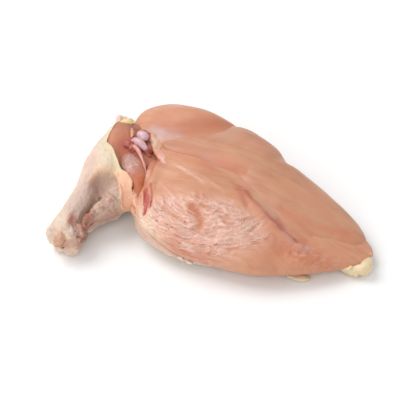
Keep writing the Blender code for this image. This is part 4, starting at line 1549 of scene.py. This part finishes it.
@dataclass
class SmallPieces:
    """The arm muscle and every small piece: knobs, sinew, scraps of tissue, fat and skin."""

    arm: Limb = Limb(
        ((-5.65, 2.35, 2.65), (-5.25, 1.3, 2.62), (-4.86, 0.2, 2.6),
         (-4.66, -0.9, 2.45), (-4.62, -1.9, 2.28)),
        (0.5, 0.95, 0.88, 0.56, 0.18), lumps=0.06, lump_size=0.7, seed=8, rings=110, sides=90,
    )
    arm_finish: FleshFinish = FleshFinish(
        "arm_meat",
        Slot.ARM,
        pale=(0.45, 0.19, 0.135),
        deep=(0.33, 0.11, 0.075),
        warm=(0.58, 0.17, 0.08),
        silver=(0.50, 0.31, 0.28),
        gloss=0.32,
    )
    scraps: tuple[Scrap, ...] = (
        Scrap("wing_bone_end", Tissue.WHITE, Limb(
            ((-4.1, 2.0, 3.28), (-4.58, 2.5, 3.46), (-5.0, 2.78, 3.2), (-5.4, 2.2, 2.6), (-6.3, 1.2, 2.2),
             (-8.0, -1.4, 1.5), (-9.05, -3.6, 1.3), (-9.55, -4.6, 1.25)),
            (0.4, 0.36, 0.36, 0.28, 0.28, 0.27, 0.4, 0.45), lumps=0.03, rings=110,
        ), ("wing_bone",)),
        Scrap("shoulder_knob", Tissue.WHITE, Limb(
            ((-4.69, 3.4, 3.5), (-4.37, 3.06, 3.6), (-4.03, 2.88, 3.5)),
            (0.29, 0.35, 0.31), lumps=0.03, seed=6,
        ), ("shoulder_cartilage",)),
        Scrap("arm_ribbon", Tissue.SINEW, Limb(
            ((-5.17, 2.5, 3.3), (-4.89, 2.17, 3.42), (-4.59, 1.64, 3.45), (-4.37, 1.0, 3.4),
             (-4.19, 0.48, 3.25), (-4.08, 0.01, 3.05)),
            (0.13, 0.18, 0.14, 0.1, 0.08, 0.06), lumps=0.03, lump_size=0.35, seed=9, rings=70, sides=16,
        )),
        Scrap("shoulder_tendon", Tissue.TAN, Limb(
            ((-5.21, 4.13, 3.4), (-5.13, 3.59, 3.42), (-5.17, 3.15, 3.35)),
            (0.08, 0.13, 0.08), lumps=0.04, lump_size=0.25, seed=19,
        )),
        Scrap("red_tissue_1", Tissue.RED, Limb(
            ((-5.75, 3.03, 3.1), (-5.38, 2.54, 3.22), (-5.03, 2.26, 3.2), (-4.76, 2.0, 3.12)),
            (0.2, 0.36, 0.34, 0.18), lumps=0.14, lump_size=0.22, seed=12,
        )),
        Scrap("red_tissue_2", Tissue.RED, Limb(
            ((-5.37, 3.55, 3.0), (-5.2, 2.91, 3.2), (-4.91, 2.51, 3.2)),
            (0.14, 0.2, 0.18), lumps=0.12, lump_size=0.25, seed=13,
        )),
        Scrap("red_tissue_3", Tissue.RED, Limb(
            ((-4.11, 2.92, 3.1), (-4.06, 2.43, 3.0), (-4.05, 1.99, 2.85), (-3.88, 1.66, 2.6)),
            (0.24, 0.3, 0.28, 0.2), lumps=0.12, lump_size=0.35, seed=14,
        )),
        Scrap("red_tissue_4", Tissue.RED, Limb(
            ((-4.86, 4.18, 2.8), (-4.43, 3.92, 2.85), (-4.07, 3.46, 2.8), (-3.99, 2.86, 2.7)),
            (0.36, 0.46, 0.42, 0.35), lumps=0.07, lump_size=0.4, seed=20,
        )),
        Scrap("breast_edge", Tissue.PINK, Limb(
            ((-3.55, 1.76, 2.6), (-3.65, 0.87, 2.7), (-3.8, 0.09, 2.7), (-4.01, -0.52, 2.55),
             (-4.27, -1.07, 2.35)),
            (0.22, 0.42, 0.46, 0.42, 0.22), lumps=0.07, lump_size=0.6, seed=21, rings=60,
        )),
        Scrap("tendon_flap", Tissue.TENDON, Limb(
            ((-3.42, 2.38, 2.95), (-3.21, 2.0, 2.98), (-2.99, 1.46, 3.02), (-2.8, 0.73, 3.1),
             (-2.62, -0.05, 3.2)),
            (0.24, 0.36, 0.3, 0.18, 0.08), flatten=0.6, lumps=0.1, lump_size=0.4, seed=15,
        )),
        Scrap("shoulder_fat", Tissue.CREAM, Limb(
            ((-3.8, 4.0, 3.05), (-3.6, 3.24, 3.05), (-3.45, 2.54, 2.98), (-3.3, 1.84, 2.9)),
            (0.2, 0.34, 0.4, 0.26), flatten=0.8, lumps=0.1, lump_size=0.4, seed=16,
        )),
        Scrap("shoulder_fat_lump", Tissue.TAN, Limb(
            ((-3.5, 2.94, 2.95), (-3.26, 2.71, 3.02), (-2.98, 2.41, 3.02)),
            (0.22, 0.3, 0.2), flatten=0.8, lumps=0.03, lump_size=0.5, seed=17,
        )),
        Scrap("armpit_fat", Tissue.ORANGE, Limb(
            ((-4.97, -2.03, 2.0), (-4.85, -2.49, 2.0), (-4.73, -2.94, 1.95)),
            (0.1, 0.17, 0.11), lumps=0.06, lump_size=0.3, seed=18,
        )),
        Scrap("armpit_skin", Tissue.PEACH, Limb(
            ((-5.07, -0.34, 2.75), (-4.92, -0.95, 2.6), (-4.8, -1.59, 2.4), (-4.69, -2.13, 2.2),
             (-4.58, -2.72, 2.05)),
            (0.12, 0.2, 0.24, 0.22, 0.12), lumps=0.08, lump_size=0.35, seed=64, rings=56,
        )),
        Scrap("shoulder_skin_1", Tissue.BLUSH, Limb(
            ((-6.3, 5.29, 2.7), (-6.19, 5.43, 3.0), (-5.98, 5.6, 3.1), (-5.56, 5.58, 3.1)),
            (0.16, 0.24, 0.2, 0.12), flatten=0.8, lumps=0.1, lump_size=0.4, seed=61,
        )),
        Scrap("shoulder_skin_2", Tissue.YELLOW, Limb(
            ((-6.4, 5.09, 2.6), (-5.95, 5.29, 2.8), (-5.45, 5.27, 2.95), (-4.96, 5.22, 2.95)),
            (0.16, 0.3, 0.34, 0.2), flatten=0.8, lumps=0.08, lump_size=0.4, seed=62,
        )),
        Scrap("tip_fat_lump_1", Tissue.CREAM_FAT, Limb(
            ((8.5, -5.84, 0.46), (8.8, -6.05, 0.46), (9.13, -6.22, 0.46), (9.48, -6.31, 0.46),
             (9.79, -6.35, 0.46)),
            (0.24, 0.36, 0.42, 0.44, 0.36), lumps=0.09, lump_size=0.8, seed=51, rings=56, sides=44,
        ), ("tip_fat",)),
        Scrap("tip_fat_lump_2", Tissue.CREAM_FAT, Limb(
            ((9.39, -6.22, 0.75), (9.78, -6.31, 0.66), (10.12, -6.15, 0.62), (10.34, -5.68, 0.62),
             (10.45, -5.34, 0.68)),
            (0.3, 0.44, 0.44, 0.32, 0.18), lumps=0.08, lump_size=0.8, seed=52, rings=56, sides=44,
        )),
        Scrap("tip_fat_lump_3", Tissue.YELLOW, Limb(
            ((8.67, -6.14, 0.7), (8.93, -6.33, 0.78), (9.24, -6.39, 0.8)),
            (0.16, 0.24, 0.16), flatten=0.7, lumps=0.08, lump_size=0.4, seed=57,
        )),
        Scrap("tip_nub", Tissue.TAN, Limb(
            ((10.41, -5.37, 0.8), (10.59, -5.11, 0.85)),
            (0.16, 0.12), seed=58,
        )),
        Scrap("wing_end_lump", Tissue.BUFF, Limb(
            ((-9.41, -4.07, 2.05), (-9.47, -4.41, 1.85), (-9.48, -4.61, 1.5), (-9.4, -4.66, 1.0)),
            (0.3, 0.42, 0.44, 0.4), lumps=0.2, lump_size=0.45, seed=53, rings=56, sides=40,
        )),
        Scrap("wing_end_strip", Tissue.GRISTLE, Limb(
            ((-8.85, -3.89, 2.1), (-8.78, -4.33, 2.05), (-8.76, -4.63, 1.8), (-8.8, -4.83, 1.45)),
            (0.12, 0.19, 0.22, 0.14), lumps=0.06, lump_size=0.4, seed=54,
        )),
        Scrap("wing_end_meat", Tissue.MEAT, Limb(
            ((-8.44, -3.48, 1.9), (-8.33, -3.96, 1.65), (-8.43, -4.25, 1.3), (-8.71, -4.41, 0.9)),
            (0.26, 0.46, 0.55, 0.36), lumps=0.2, lump_size=0.4, seed=63, rings=56, sides=40,
        )),
        Scrap("skin_tab", Tissue.CREAM_FAT, Limb(
            ((5.06, -6.55, 0.25), (5.57, -6.66, 0.24), (6.08, -6.73, 0.22), (6.52, -6.76, 0.2)),
            (0.16, 0.24, 0.27, 0.18), flatten=0.5, lumps=0.06, lump_size=0.45, seed=55,
        )),
        Scrap("rim_fat_1", Tissue.BLUSH, Limb(
            ((-1.91, -5.72, 1.15), (-1.71, -5.81, 1.05), (-1.49, -5.92, 0.98)),
            (0.07, 0.11, 0.07), lumps=0.04, lump_size=0.25, seed=56,
        )),
        Scrap("rim_fat_2", Tissue.BLUSH, Limb(
            ((-1.39, -5.96, 0.98), (-1.2, -6.01, 0.9), (-0.98, -6.1, 0.85)),
            (0.07, 0.11, 0.07), lumps=0.04, lump_size=0.25, seed=59,
        )),
    )

    def arm_flesh(self, kitchen: Kitchen) -> None:
        """Makes and dresses the arm muscle: purple above, a painted greyish sheen with glints in the middle,
        orange red at its foot.
        """
        points, faces = self.arm.mesh()
        x, y, _ = points.T
        rag = Noise(10).ragged(points * 1.6, 3)
        # Painted sheen and painted glints: a lighter patch and fine light specks, laid into the colour
        # through the film and silver masks.
        painted_sheen = near_spots(points, ((-5.35, 1.2, 3.3), (-5.1, 0.5, 3.25)), 0.75) * (0.4 + 0.9 * rag)
        painted_glints = ease(0.1, 0.45, Noise(14).fractal(points * 4.5, 2)) * painted_sheen
        blood = 0.9 * ease(1.5, 2.5, y + 0.5 * rag) + 0.35 * near_spots(points, ((-5.8, 1.4, 2.9),), 0.5)
        side = ease(-5.0, -4.5, x + 0.3 * rag - 0.15) * ease(1.6, 0.2, y)
        masks = flesh_masks(
            self.arm.streaks(3.0, 3.2),
            film=0.25 * painted_sheen + 0.7 * painted_glints,
            silver=0.55 * painted_sheen,
            blood=0.8 * blood,
            warm=0.9 * ease(0.3, -0.9, y) + 0.7 * side,
        )
        kitchen.dress(mesh_piece("arm_flesh", points, faces, masks), self.arm_finish, "arm_muscle")

    def build(self, kitchen: Kitchen) -> None:
        """Makes and dresses every piece."""
        self.arm_flesh(kitchen)
        for scrap in self.scraps:
            kitchen.dress(mesh_piece(scrap.name, *scrap.limb.mesh()), scrap.tissue.value, *scrap.nodes)


class GeometryTree(Graph):
    """A Geometry Nodes tree with named inputs."""

    def __init__(self, name: str) -> None:
        """Starts a tree with geometry in and out."""
        super().__init__(bpy.data.node_groups.new(name, "GeometryNodeTree"))
        for way in ("INPUT", "OUTPUT"):
            self.tree.interface.new_socket("Geometry", in_out=way, socket_type="NodeSocketGeometry")
        self.entry = self.tree.nodes.new("NodeGroupInput")
        self.exit = self.tree.nodes.new("NodeGroupOutput")
        self.identifiers: dict[str, str] = {}

    def entrance(self, name: str, kind: str = "NodeSocketFloat") -> Value:
        """Adds a named input.

        Args:
            name: Its name.
            kind: Its socket type.

        Returns:
            The output that carries its value in the tree.
        """
        socket = self.tree.interface.new_socket(name, in_out="INPUT", socket_type=kind)
        self.identifiers[name] = socket.identifier
        return Value(self, next(out for out in self.entry.outputs if out.identifier == socket.identifier))

    def attribute(self, name: str, kind: str = "FLOAT") -> Value:
        """What the surface carries under a name at each point."""
        return self.add("GeometryNodeInputNamedAttribute", {"data_type": kind}, {"Name": name})

    def scaled(self, vector: Value, scale: Value | float) -> Value:
        """A vector times a number."""
        return self.add("ShaderNodeVectorMath", {"operation": "SCALE"}, {0: vector, "Scale": scale})

    def wobble(self, place: Value, scale: float, strength: float) -> Value:
        """A vector that changes over space.

        Args:
            place: Where it is wanted.
            scale: How many times it changes in a metre.
            strength: How long it is.

        Returns:
            The vector.
        """
        cloud = self.add("ShaderNodeTexNoise", {}, {"Vector": place, "Scale": scale, "Detail": 1.0}, "Color")
        centred = self.add("ShaderNodeVectorMath", {"operation": "SUBTRACT"}, {0: cloud, 1: (0.5, 0.5, 0.5)})
        return self.scaled(centred, strength)

    def copies(
        self,
        points: bpy.types.NodeSocket,
        model: Value,
        rotation: Value | bpy.types.NodeSocket,
        sizes: tuple[float, float],
        seed: int,
    ) -> Value:
        """Puts copies of a model on points.

        Args:
            points: The points.
            model: The geometry that is copied.
            rotation: How each copy is turned.
            sizes: The smallest and the largest scale.
            seed: What the random scales start from.

        Returns:
            The copies.
        """
        limits = {2: sizes[0], 3: sizes[1], "Seed": seed}
        size = self.add("FunctionNodeRandomValue", {"data_type": "FLOAT"}, limits, 1)
        values = {"Points": points, "Instance": model, "Rotation": rotation, "Scale": size}
        return self.add("GeometryNodeInstanceOnPoints", {}, values)

    def end(self, result: Value, material: Value) -> None:
        """Ends the tree in plain smooth geometry with its material."""
        smooth = self.add("GeometryNodeSetShadeSmooth", {}, {"Geometry": result})
        real = self.add("GeometryNodeRealizeInstances", {}, {"Geometry": smooth})
        dressed = self.add("GeometryNodeSetMaterial", {}, {"Geometry": real, "Material": material})
        self.feed(self.exit.inputs[0], dressed)

    def grow(self, name: str, base: bpy.types.Object, values: dict[str, object]) -> bpy.types.Object:
        """Runs the tree on a surface.

        Args:
            name: The new piece's name.
            base: The object whose mesh goes in.
            values: A value for each named input.

        Returns:
            The result as a plain mesh, at the origin.
        """
        carrier = linked(name + "_carrier", base.data.copy())
        modifier = carrier.modifiers.new("grow", "NODES")
        modifier.node_group = self.tree
        for key, value in values.items():
            modifier[self.identifiers[key]] = value
        evaluated = carrier.evaluated_get(bpy.context.evaluated_depsgraph_get())
        data = bpy.data.meshes.new_from_object(evaluated)
        bpy.data.objects.remove(carrier)
        data.name = name
        for vertex in data.vertices:
            vertex.co.z = max(vertex.co.z, 0.0)
        return new_piece(name, data)


@dataclass
class FilmStrands:
    """Thin pale strands of film lying on the breast, along its fibres.

    Turns and waves are each given by how often they change in a metre, and by how strong they are.
    """

    per_square_metre: float = 90000.0
    length: float = 0.007
    thickness: float = 0.00024
    lift: float = 0.00002
    seed: int = 4
    film_power: float = 2.5
    turns: tuple[float, float] = (75.0, 3.0)
    waves: tuple[float, float] = (300.0, 0.005)
    lengths: tuple[float, float] = (0.35, 1.5)
    bends: int = 10
    end_width: float = 0.15
    sides: int = 6

    def tree(self) -> GeometryTree:
        """Builds the tree that lays strands on a surface by its film mask."""
        t = GeometryTree("film_strands")
        density, length, thickness, lift = map(t.entrance, ("Density", "Length", "Thickness", "Lift"))
        seed = t.entrance("Seed", "NodeSocketInt")
        material = t.entrance("Material", "NodeSocketMaterial")
        surface = t.entry.outputs["Geometry"]
        amount = t.attribute("film") ** self.film_power * density
        values = {"Mesh": surface, "Density": amount, "Seed": seed}
        spread = t.node("GeometryNodeDistributePointsOnFaces", {}, values)
        end = t.add("ShaderNodeCombineXYZ", {}, {"X": length * 0.5})
        line = t.add("GeometryNodeCurvePrimitiveLine", {}, {"Start": t.scaled(end, -1.0), "End": end})
        place = t.add("GeometryNodeInputPosition")
        parts = {0: t.wobble(place, *self.turns), 1: t.attribute("flow", "FLOAT_VECTOR")}
        flow = t.add("ShaderNodeVectorMath", {"operation": "ADD"}, parts)
        facing = t.add("FunctionNodeAlignEulerToVector", {"axis": "X"}, {"Vector": flow})
        laid = t.copies(spread.outputs["Points"], line, facing, self.lengths, 2)
        real = t.add("GeometryNodeRealizeInstances", {}, {"Geometry": laid})
        fine = t.add("GeometryNodeResampleCurve", {}, {"Curve": real, "Count": self.bends})
        values = {"Geometry": fine, "Offset": t.wobble(place, *self.waves)}
        bent = t.add("GeometryNodeSetPosition", {}, values)
        near = t.add("GeometryNodeProximity", {"target_element": "FACES"}, {0: surface}, "Position")
        values = {"Mesh": surface, "Value": t.add("GeometryNodeInputNormal")}
        out = t.add("GeometryNodeSampleNearestSurface", {"data_type": "FLOAT_VECTOR"}, values)
        values = {"Geometry": bent, "Position": near, "Offset": t.scaled(out, lift)}
        dropped = t.add("GeometryNodeSetPosition", {}, values)
        along = t.add("GeometryNodeSplineParameter", output="Factor")
        belly = t.add("ShaderNodeMath", {"operation": "SINE"}, {0: along * math.pi})
        full = belly * (1 - self.end_width) + self.end_width
        tapered = t.add("GeometryNodeSetCurveRadius", {}, {"Curve": dropped, "Radius": full})
        ring = t.add("GeometryNodeCurvePrimitiveCircle", {}, {"Resolution": self.sides, "Radius": thickness})
        values = {"Curve": tapered, "Profile Curve": ring, "Fill Caps": True}
        t.end(t.add("GeometryNodeCurveToMesh", {}, values), material)
        return t

    def build(self, kitchen: Kitchen, surface: bpy.types.Object) -> None:
        """Lays and dresses the strands.

        Args:
            kitchen: The finishes.
            surface: The dressed breast.
        """
        finish = GlossFinish("film_strand", Slot.FLESH, (0.82, 0.53, 0.43), (0.76, 0.40, 0.30), roughness=0.3)
        values = {
            "Density": self.per_square_metre,
            "Length": self.length,
            "Thickness": self.thickness,
            "Lift": self.lift,
            "Seed": self.seed,
            "Material": kitchen.material(finish),
        }
        kitchen.dress(self.tree().grow("film_strands", surface, values), finish)


@dataclass
class Follicles:
    """Small rounded grains scattered on the skin, away from where its mask is strong."""

    name: str = "skin_follicles"
    finish: SkinFinish = SkinFinish()
    spacing: float = 0.0034
    radius: float = 0.0004
    flatten: float = 0.35
    mask: str = "grey_and_shade"
    seed: int = 5
    per_square_metre: float = 400000.0
    sizes: tuple[float, float] = (0.5, 1.35)
    segments: int = 8
    rings: int = 4

    def tree(self) -> GeometryTree:
        """Builds the tree that scatters the grains on a surface."""
        t = GeometryTree(self.name)
        spacing, radius, flatten = map(t.entrance, ("Spacing", "Radius", "Flatten"))
        seed = t.entrance("Seed", "NodeSocketInt")
        material = t.entrance("Material", "NodeSocketMaterial")
        values = {
            "Mesh": t.entry.outputs["Geometry"],
            "Distance Min": spacing,
            "Density Max": self.per_square_metre,
            "Density Factor": (1 - t.attribute(self.mask)).clamp(),
            "Seed": seed,
        }
        spread = t.node("GeometryNodeDistributePointsOnFaces", {"distribute_method": "POISSON"}, values)
        values = {"Segments": self.segments, "Rings": self.rings, "Radius": radius}
        ball = t.add("GeometryNodeMeshUVSphere", {}, values)
        squash = t.add("ShaderNodeCombineXYZ", {}, {"X": 1.0, "Y": 1.0, "Z": flatten})
        flat = t.add("GeometryNodeTransform", {}, {"Geometry": ball, "Scale": squash})
        t.end(t.copies(spread.outputs["Points"], flat, spread.outputs["Rotation"], self.sizes, 3), material)
        return t

    def build(self, kitchen: Kitchen, surface: bpy.types.Object) -> None:
        """Scatters and dresses the grains.

        Args:
            kitchen: The finishes.
            surface: The dressed piece that carries them.
        """
        values = {
            "Spacing": self.spacing,
            "Radius": self.radius,
            "Flatten": self.flatten,
            "Seed": self.seed,
            "Material": kitchen.material(self.finish),
        }
        kitchen.dress(self.tree().grow(self.name, surface, values), self.finish)


@dataclass
class Studio:
    """A plain white table, soft light from the upper left and the camera at the photograph's angle."""

    target: tuple[float, float, float] = (-0.00513, -0.01214, 0.01364)
    distance: float = 0.67364
    elevation_deg: float = 45.0
    lens: float = 100.0
    sensor_width: float = 36.0
    table_size: float = 6.0
    table_tones: tuple[Colour, Colour] = ((0.93, 0.93, 0.93), (0.95, 0.95, 0.95))
    table_roughness: float = 0.85
    table_gloss: float = 0.1
    key_place: tuple[float, float, float] = (-0.62, 0.34, 0.95)
    key_size: float = 0.75
    key_power: float = 7.5
    fill_place: tuple[float, float, float] = (-0.35, -0.85, 0.75)
    fill_size: float = 0.8
    fill_power: float = 3.0
    world_strength: float = 0.66

    def lamp(self, name: str, place: tuple[float, float, float], size: float, power: float) -> None:
        """Hangs a soft square light that looks at the middle of the table.

        Args:
            name: Its name.
            place: Where it hangs.
            size: The length of its side.
            power: Its power in watts.
        """
        light = bpy.data.lights.new(name, "AREA")
        light.shape = "SQUARE"
        light.size = size
        light.energy = power
        holder = linked(name, light)
        holder.location = place
        holder.rotation_euler = (-Vector(place)).to_track_quat("-Z", "Y").to_euler()

    def table(self) -> None:
        """Lays the table."""
        half = self.table_size / 2
        data = bpy.data.meshes.new("table")
        corners = [(-half, -half, 0), (half, -half, 0), (half, half, 0), (-half, half, 0)]
        data.from_pydata(corners, [], [(0, 1, 2, 3)])
        g = ShaderGraph("white_table")
        colour = g.mix(g.noise(g.place(), 30.0, 2.0), *self.table_tones)
        constants = {"Roughness": self.table_roughness, "Specular IOR Level": self.table_gloss}
        data.materials.append(g.finish(constants, Base_Color=colour))
        linked("table", data)

    def world(self) -> None:
        """Lights the room evenly, with white."""
        world = bpy.data.worlds.new("studio")
        world.use_nodes = True
        background = world.node_tree.nodes["Background"]
        background.inputs["Color"].default_value = (1, 1, 1, 1)
        background.inputs["Strength"].default_value = self.world_strength
        bpy.context.scene.world = world
        bpy.context.scene.view_settings.view_transform = "Standard"

    def camera(self) -> None:
        """Sets up the camera at the photograph's angle."""
        elevation = math.radians(self.elevation_deg)
        back = Vector((0, -math.cos(elevation), math.sin(elevation)))
        view = bpy.data.cameras.new("camera")
        view.lens = self.lens
        view.sensor_width = self.sensor_width
        camera = linked("camera", view)
        camera.location = Vector(self.target) + back * self.distance
        camera.rotation_euler = (math.pi / 2 - elevation, 0, 0)
        bpy.context.scene.camera = camera

    def build(self) -> None:
        """Lays the table, hangs the lights and sets up the camera."""
        self.table()
        self.lamp("key", self.key_place, self.key_size, self.key_power)
        self.lamp("fill", self.fill_place, self.fill_size, self.fill_power)
        self.world()
        self.camera()


def main() -> None:
    """Loads the solids, sets up the studio and dresses every piece."""
    logging.basicConfig(level=logging.INFO, format="%(message)s")
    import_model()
    kitchen = Kitchen()
    Studio().build()

    breast = Breast()
    breast_piece = breast.build(kitchen)
    Fillet().build(kitchen)
    BreastSkin().build(kitchen, breast)
    wing_skin = Wing().build(kitchen)
    SmallPieces().build(kitchen)
    FilmStrands().build(kitchen, breast_piece)
    Follicles().build(kitchen, wing_skin)


if __name__ == "__main__":
    main()
